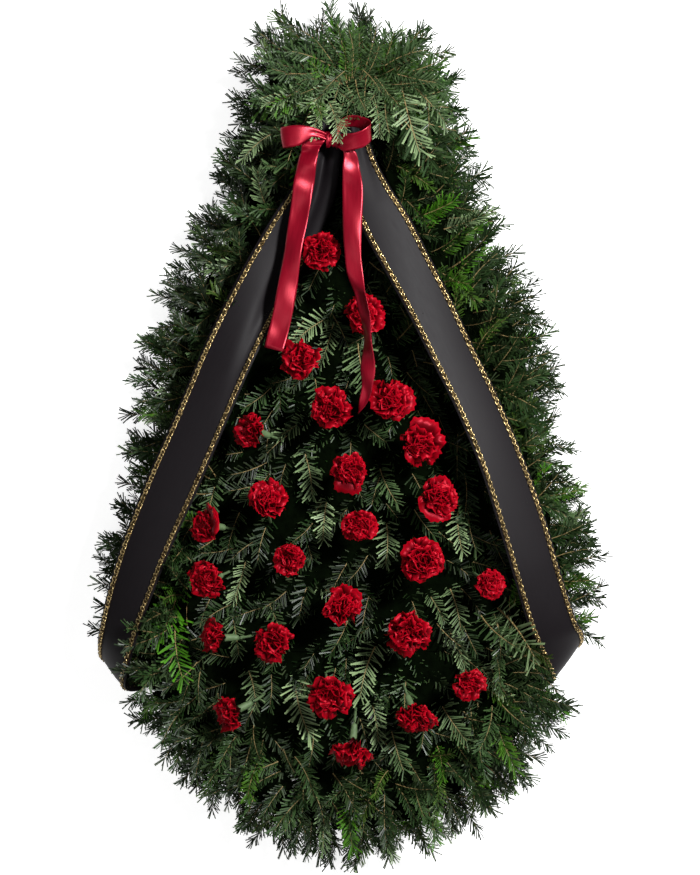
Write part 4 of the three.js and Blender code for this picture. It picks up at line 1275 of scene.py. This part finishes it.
def satin_material(name, dark, light, **fixed_values):
    """Satin: fine ribs across the ribbon with a soft sheen."""
    shader = Shader(name, **fixed_values)
    chart = shader.add("ShaderNodeUVMap", {"uv_map": "cloth"})
    ribs = shader.add("ShaderNodeTexWave", {"wave_type": "BANDS", "bands_direction": "Y"},
                      {"Vector": chart, "Scale": 320.0, "Distortion": 0.4}, out=1)
    slub = shader.noise(shader.add("ShaderNodeMapping", None,
                                   {"Vector": chart, "Scale": (40, 4, 1)}), 8, 3)
    colour = shader.mix(slub * 0.6, dark, light)
    return shader.feed(Base_Color=colour, Roughness=fixed_values["Roughness"] + slub * 0.10 - 0.05,
                       Normal=shader.bump(ribs, 0.12, 0.0002))


def gold_material():
    shader = Shader("gilt_braid", Metallic=1.0)
    painted_glint = shader.noise(shader.place(), 300, 2)
    # Painted glints and painted shade: random patches of the base colour run from bright gold to near
    # black.
    colour = shader.mix((painted_glint - 0.38) * 4, GOLD_PAINTED_SHADE, GOLD_LIGHT)
    return shader.feed(Base_Color=colour, Roughness=0.18 + painted_glint * 0.25)


def tape_material():
    shader = Shader("braid_tape", Roughness=0.8, Specular_IOR_Level=0.1)
    weave = shader.noise(shader.place(), 700, 1)
    return shader.feed(Base_Color=shader.mix(weave, (0.006, 0.004, 0.002), (0.060, 0.036, 0.012)))


def braid_tree(material, tape):
    """A chain of small wire links along the line of loose edges, over the strip's own faces."""
    tree = Geometry("gilt_chain", Pitch=LINK_PITCH, Radius=LINK_RADIUS, Wire=LINK_WIRE)
    whole = tree.given("Geometry")
    parts = tree.add("GeometryNodeSeparateGeometry", {"domain": "POINT"},
                     {"Geometry": whole, "Selection": tree.named("chained")})
    line = tree.add("GeometryNodeMeshToCurve", None, {"Mesh": parts})
    line = tree.add("GeometryNodeResampleCurve", {"mode": "LENGTH"},
                    {"Curve": line, "Length": tree.given("Pitch")})
    parity = tree.index().math("MODULO", 2) * 2 - 1
    link = tree.add("GeometryNodeCurveToMesh", None,
                    {"Curve": tree.circle(8, tree.given("Radius")),
                     "Profile Curve": tree.circle(3, tree.given("Wire"))})
    forward = tree.add("GeometryNodeInputTangent")
    face = tree.named("face", "FLOAT_VECTOR")
    aside = face.cross(forward)
    turn = tree.turned("Z", face + aside * (parity * 0.45), "X", forward + aside * (parity * 0.5))
    links = tree.smoothed(tree.copies(line, link, Rotation=turn, Scale=tree.xyz(1.2, 0.85, 1.0)))
    whole_braid = tree.join(tree.painted(parts.also("Inverted"), tape),
                            tree.painted(links, material))
    tree.result(tree.without(whole_braid, "chained", "face"))
    return tree


def braid(name, strip, tree, side, start):
    """The gilt chain along one edge of a strip from a share of its length on, on a narrow tape."""
    first = int(start * strip.along)

    def beside_edge(row, inset, lift):
        u = inset / strip.width(row)
        return Vector(strip.point(1 - u if side > 0 else u, row, lift))

    rings, line = [], []
    for row in range(first, strip.along + 1):
        ring = [beside_edge(row, BRAID_INSET + half * BRAID_WIDTH, BRAID_LIFT * lift)
                for half, lift in TAPE_SECTION]
        rings.append(ring[::side])
        line.append(beside_edge(row, BRAID_INSET, BRAID_LIFT + LINK_WIRE))
    tape_vertices, tape_faces = lofted(rings)
    shift = len(tape_vertices)
    mesh = bpy.data.meshes.new(name)
    mesh.from_pydata([tuple(v) for v in [*tape_vertices, *line]],
                     [(shift + i, shift + i + 1) for i in range(len(line) - 1)], tape_faces)
    chained = mesh.attributes.new("chained", "BOOLEAN", "POINT")
    chained.data.foreach_set("value", [i >= shift for i in range(shift + len(line))])
    face = mesh.attributes.new("face", "FLOAT_VECTOR", "POINT")
    normals = [(0, 0, 0)] * shift + [tuple(n) for n in strip.normal[first:]]
    face.data.foreach_set("vector", np.array(normals).ravel())
    piece = bpy.data.objects.new(name, mesh)
    bpy.context.scene.collection.objects.link(piece)
    run_tree(piece, tree)
    return fixed(piece, "sash")


def left_relief(u, v):
    """A soft crown, and a gathered valley where the tail comes from under the bow."""
    gather = max(0, 1 - v / 0.42) ** 0.6
    valley = math.exp(-((u - 0.45 - 1.1 * v) / 0.15) ** 2)
    return SASH_CROWN * (1 - (2 * u - 1) ** 2) - 0.013 * gather * valley


def right_relief(u, v):
    gather = max(0, 1 - v / 0.16)
    valley = math.exp(-((u - 0.62) / 0.18) ** 2)
    return SASH_CROWN * (1 - (2 * u - 1) ** 2) - 0.006 * gather * valley


black_satin = satin_material("black_satin", (0.0038, 0.0030, 0.0036), (0.0072, 0.0056, 0.0068),
                             Roughness=0.5, Specular_IOR_Level=0.075)
gilt_chain = braid_tree(gold_material(), tape_material())
for side_name, stations, relief in (("left", LEFT_SASH, left_relief),
                                    ("right", RIGHT_SASH, right_relief)):
    strip = Strip(stations, SASH_ALONG, relief)
    sash = cloth(f"sash_cloth_{side_name}", black_satin, SASH_THICKNESS, strip.grid(SASH_ACROSS))
    fixed(sash, "sash", f"sash_{side_name}")
    braids = [braid(f"braid_{side_name}_{edge}", strip, gilt_chain, way,
                    BRAID_STARTS.get((side_name, edge), 0))
              for edge, way in (("a", -1), ("b", 1))]


# Bow.
# A bow of red satin ribbon: two loops and two tails out of one knot, wired to the crown. The left
# tail hangs flat, the right one twists edge-on towards its end.

LEFT_LOOP = [
    ((-34, 497, 184), (-34, 484, 184)), ((-56, 505, 194), (-58, 489, 192)),
    ((-80, 508, 199), (-82, 475, 198)), ((-98, 507, 197), (-98, 473, 196)),
    ((-111, 505, 187), (-107, 472, 186)), ((-98, 503, 177), (-96, 474, 177)),
    ((-70, 498, 175), (-70, 480, 175)), ((-34, 492, 178), (-34, 482, 178)),
]
RIGHT_LOOP = [
    ((-20, 494, 186), (-20, 476, 182)), ((-8, 494, 198), (-8, 467, 190)),
    ((8, 494, 208), (8, 468, 196)), ((24, 499, 210), (24, 472, 198)),
    ((35, 507, 206), (35, 480, 194)), ((37, 514, 198), (38, 489, 185)),
    ((29, 521, 190), (30, 500, 174)), ((14, 526, 185), (15, 508, 168)),
    ((0, 526, 184), (0, 509, 168)), ((-12, 519, 184), (-12, 503, 170)),
    ((-20, 506, 183), (-20, 490, 176)),
]
LEFT_TAIL = [
    ((-50, 492, 180), (-30, 488, 180)), ((-73, 480, 183), (-42, 480, 186)),
    ((-79, 464, 182), (-48, 467, 186)), ((-86, 432, 180), (-53, 436, 184)),
    ((-94, 383, 180), (-61, 387, 184)), ((-106, 300, 179), (-75, 306, 183)),
    ((-122, 209, 180), (-89, 214, 184)), ((-138, 146, 182), (-107, 138, 186)),
]
RIGHT_TAIL = [
    ((-24, 490, 181), (-8, 490, 181)), ((-8, 466, 182), (12, 467, 182)),
    ((-9, 440, 182), (19, 440, 181)), ((-9, 400, 184), (24, 400, 182)),
    ((-8, 325, 186), (22, 325, 188)), ((0, 270, 184), (22, 262, 198)),
    ((10, 225, 186), (30, 222, 204)), ((23, 171, 188), (41, 169, 208)),
    ((24, 116, 190), (43, 115, 210)), ((22, 78, 194), (36, 72, 206)),
    ((14, 42, 192), (17, 36, 200)),
]
KNOT_MIDDLE, KNOT_HALF = (-27, 487, 177), (9, 11, 8)
KNOT_STATIONS = 16
RIBBON_THICKNESS = 0.0005
RIBBON_ACROSS = 10
LOOP_ALONG, TAIL_ALONG, KNOT_ALONG = 40, 70, 40


def loop_relief(u, v):
    """Pleats where the loop runs into the knot at both ends."""
    pinch = max(0, 1 - min(v, 1 - v) / 0.2)
    return 0.002 * pinch * math.sin(u * 3 * math.pi) + 0.0008 * (1 - (2 * u - 1) ** 2)


def tail_relief(u, v):
    pinch = max(0, 1 - v / 0.15)
    wave = 0.0040 * math.sin(17 * v + 2 * u) + 0.0018 * math.sin(41 * v - 3 * u)
    return 0.002 * pinch * math.sin(u * 3 * math.pi) + wave * min(1, 4 * v)


def knot_relief(u, v):
    return 0.0012 * math.sin(u * 5 * math.pi + 1) - 0.004 * abs(2 * u - 1) ** 2


def knot_stations():
    """The band that goes once round the knot."""
    stations = []
    for i in range(KNOT_STATIONS + 1):
        angle = i / KNOT_STATIONS * 2 * math.pi
        y = KNOT_MIDDLE[1] + KNOT_HALF[1] * math.cos(angle)
        z = KNOT_MIDDLE[2] - KNOT_HALF[2] * math.sin(angle)
        stations.append(((KNOT_MIDDLE[0] - KNOT_HALF[0], y, z),
                         (KNOT_MIDDLE[0] + KNOT_HALF[0], y, z)))
    return stations


red_satin = satin_material("red_satin", (0.15, 0.0, 0.007), (0.30, 0.003, 0.018),
                           Roughness=0.34, Metallic=0.45, Specular_IOR_Level=0.30)
bow_parts = [(LEFT_LOOP, LOOP_ALONG, loop_relief), (RIGHT_LOOP, LOOP_ALONG, loop_relief),
             (LEFT_TAIL, TAIL_ALONG, tail_relief), (RIGHT_TAIL, TAIL_ALONG, tail_relief),
             (knot_stations(), KNOT_ALONG, knot_relief)]
strips = [Strip(stations, along, relief) for stations, along, relief in bow_parts]
bow = cloth("bow_ribbon", red_satin, RIBBON_THICKNESS,
            *(strip.grid(RIBBON_ACROSS) for strip in strips))
fixed(bow, "red_satin", "bow")


# Floor and light.
# A plain white floor under the wreath and broad soft studio light from above.

FLOOR_HALF = 8.0
FLOOR_DARK, FLOOR_LIGHT = (0.52, 0.52, 0.52), (0.56, 0.56, 0.56)
FLOOR_GLOW, WORLD_STRENGTH = 0.8, 0.17
KEY_LIGHT = {"place": (1.8, 1.1, 2.8), "size": 0.5, "power": 290}
FILL_LIGHT = {"place": (-1.2, -0.9, 3.3), "size": 2.2, "power": 30}

floor_shader = Shader("floor", Roughness=0.9, Emission_Color=(1, 1, 1, 1), Emission_Strength=FLOOR_GLOW)
floor_grain = floor_shader.noise(floor_shader.place(), 3)
floor_shader.feed(Base_Color=floor_shader.mix(floor_grain, FLOOR_DARK, FLOOR_LIGHT))
floor = new_object("floor", [(x * FLOOR_HALF, y * FLOOR_HALF, 0)
                             for x, y in ((-1, -1), (1, -1), (1, 1), (-1, 1))],
                   [(0, 1, 2, 3)], floor_shader.material)


def area_light(name, place, size, power):
    """A square lamp that shines at the origin: side in metres, power in watts."""
    data = bpy.data.lights.new(name, "AREA")
    data.size = size
    data.energy = power
    lamp = bpy.data.objects.new(name, data)
    lamp.location = place
    lamp.rotation_euler = (-Vector(place)).to_track_quat("-Z", "Y").to_euler()
    bpy.context.scene.collection.objects.link(lamp)


area_light("key", **KEY_LIGHT)
area_light("fill", **FILL_LIGHT)
world = bpy.data.worlds.new("studio")
world.use_nodes = True
world.node_tree.nodes["Background"].inputs["Color"].default_value = (1, 1, 1, 1)
world.node_tree.nodes["Background"].inputs["Strength"].default_value = WORLD_STRENGTH
bpy.context.scene.world = world
bpy.context.scene.view_settings.view_transform = "Standard"
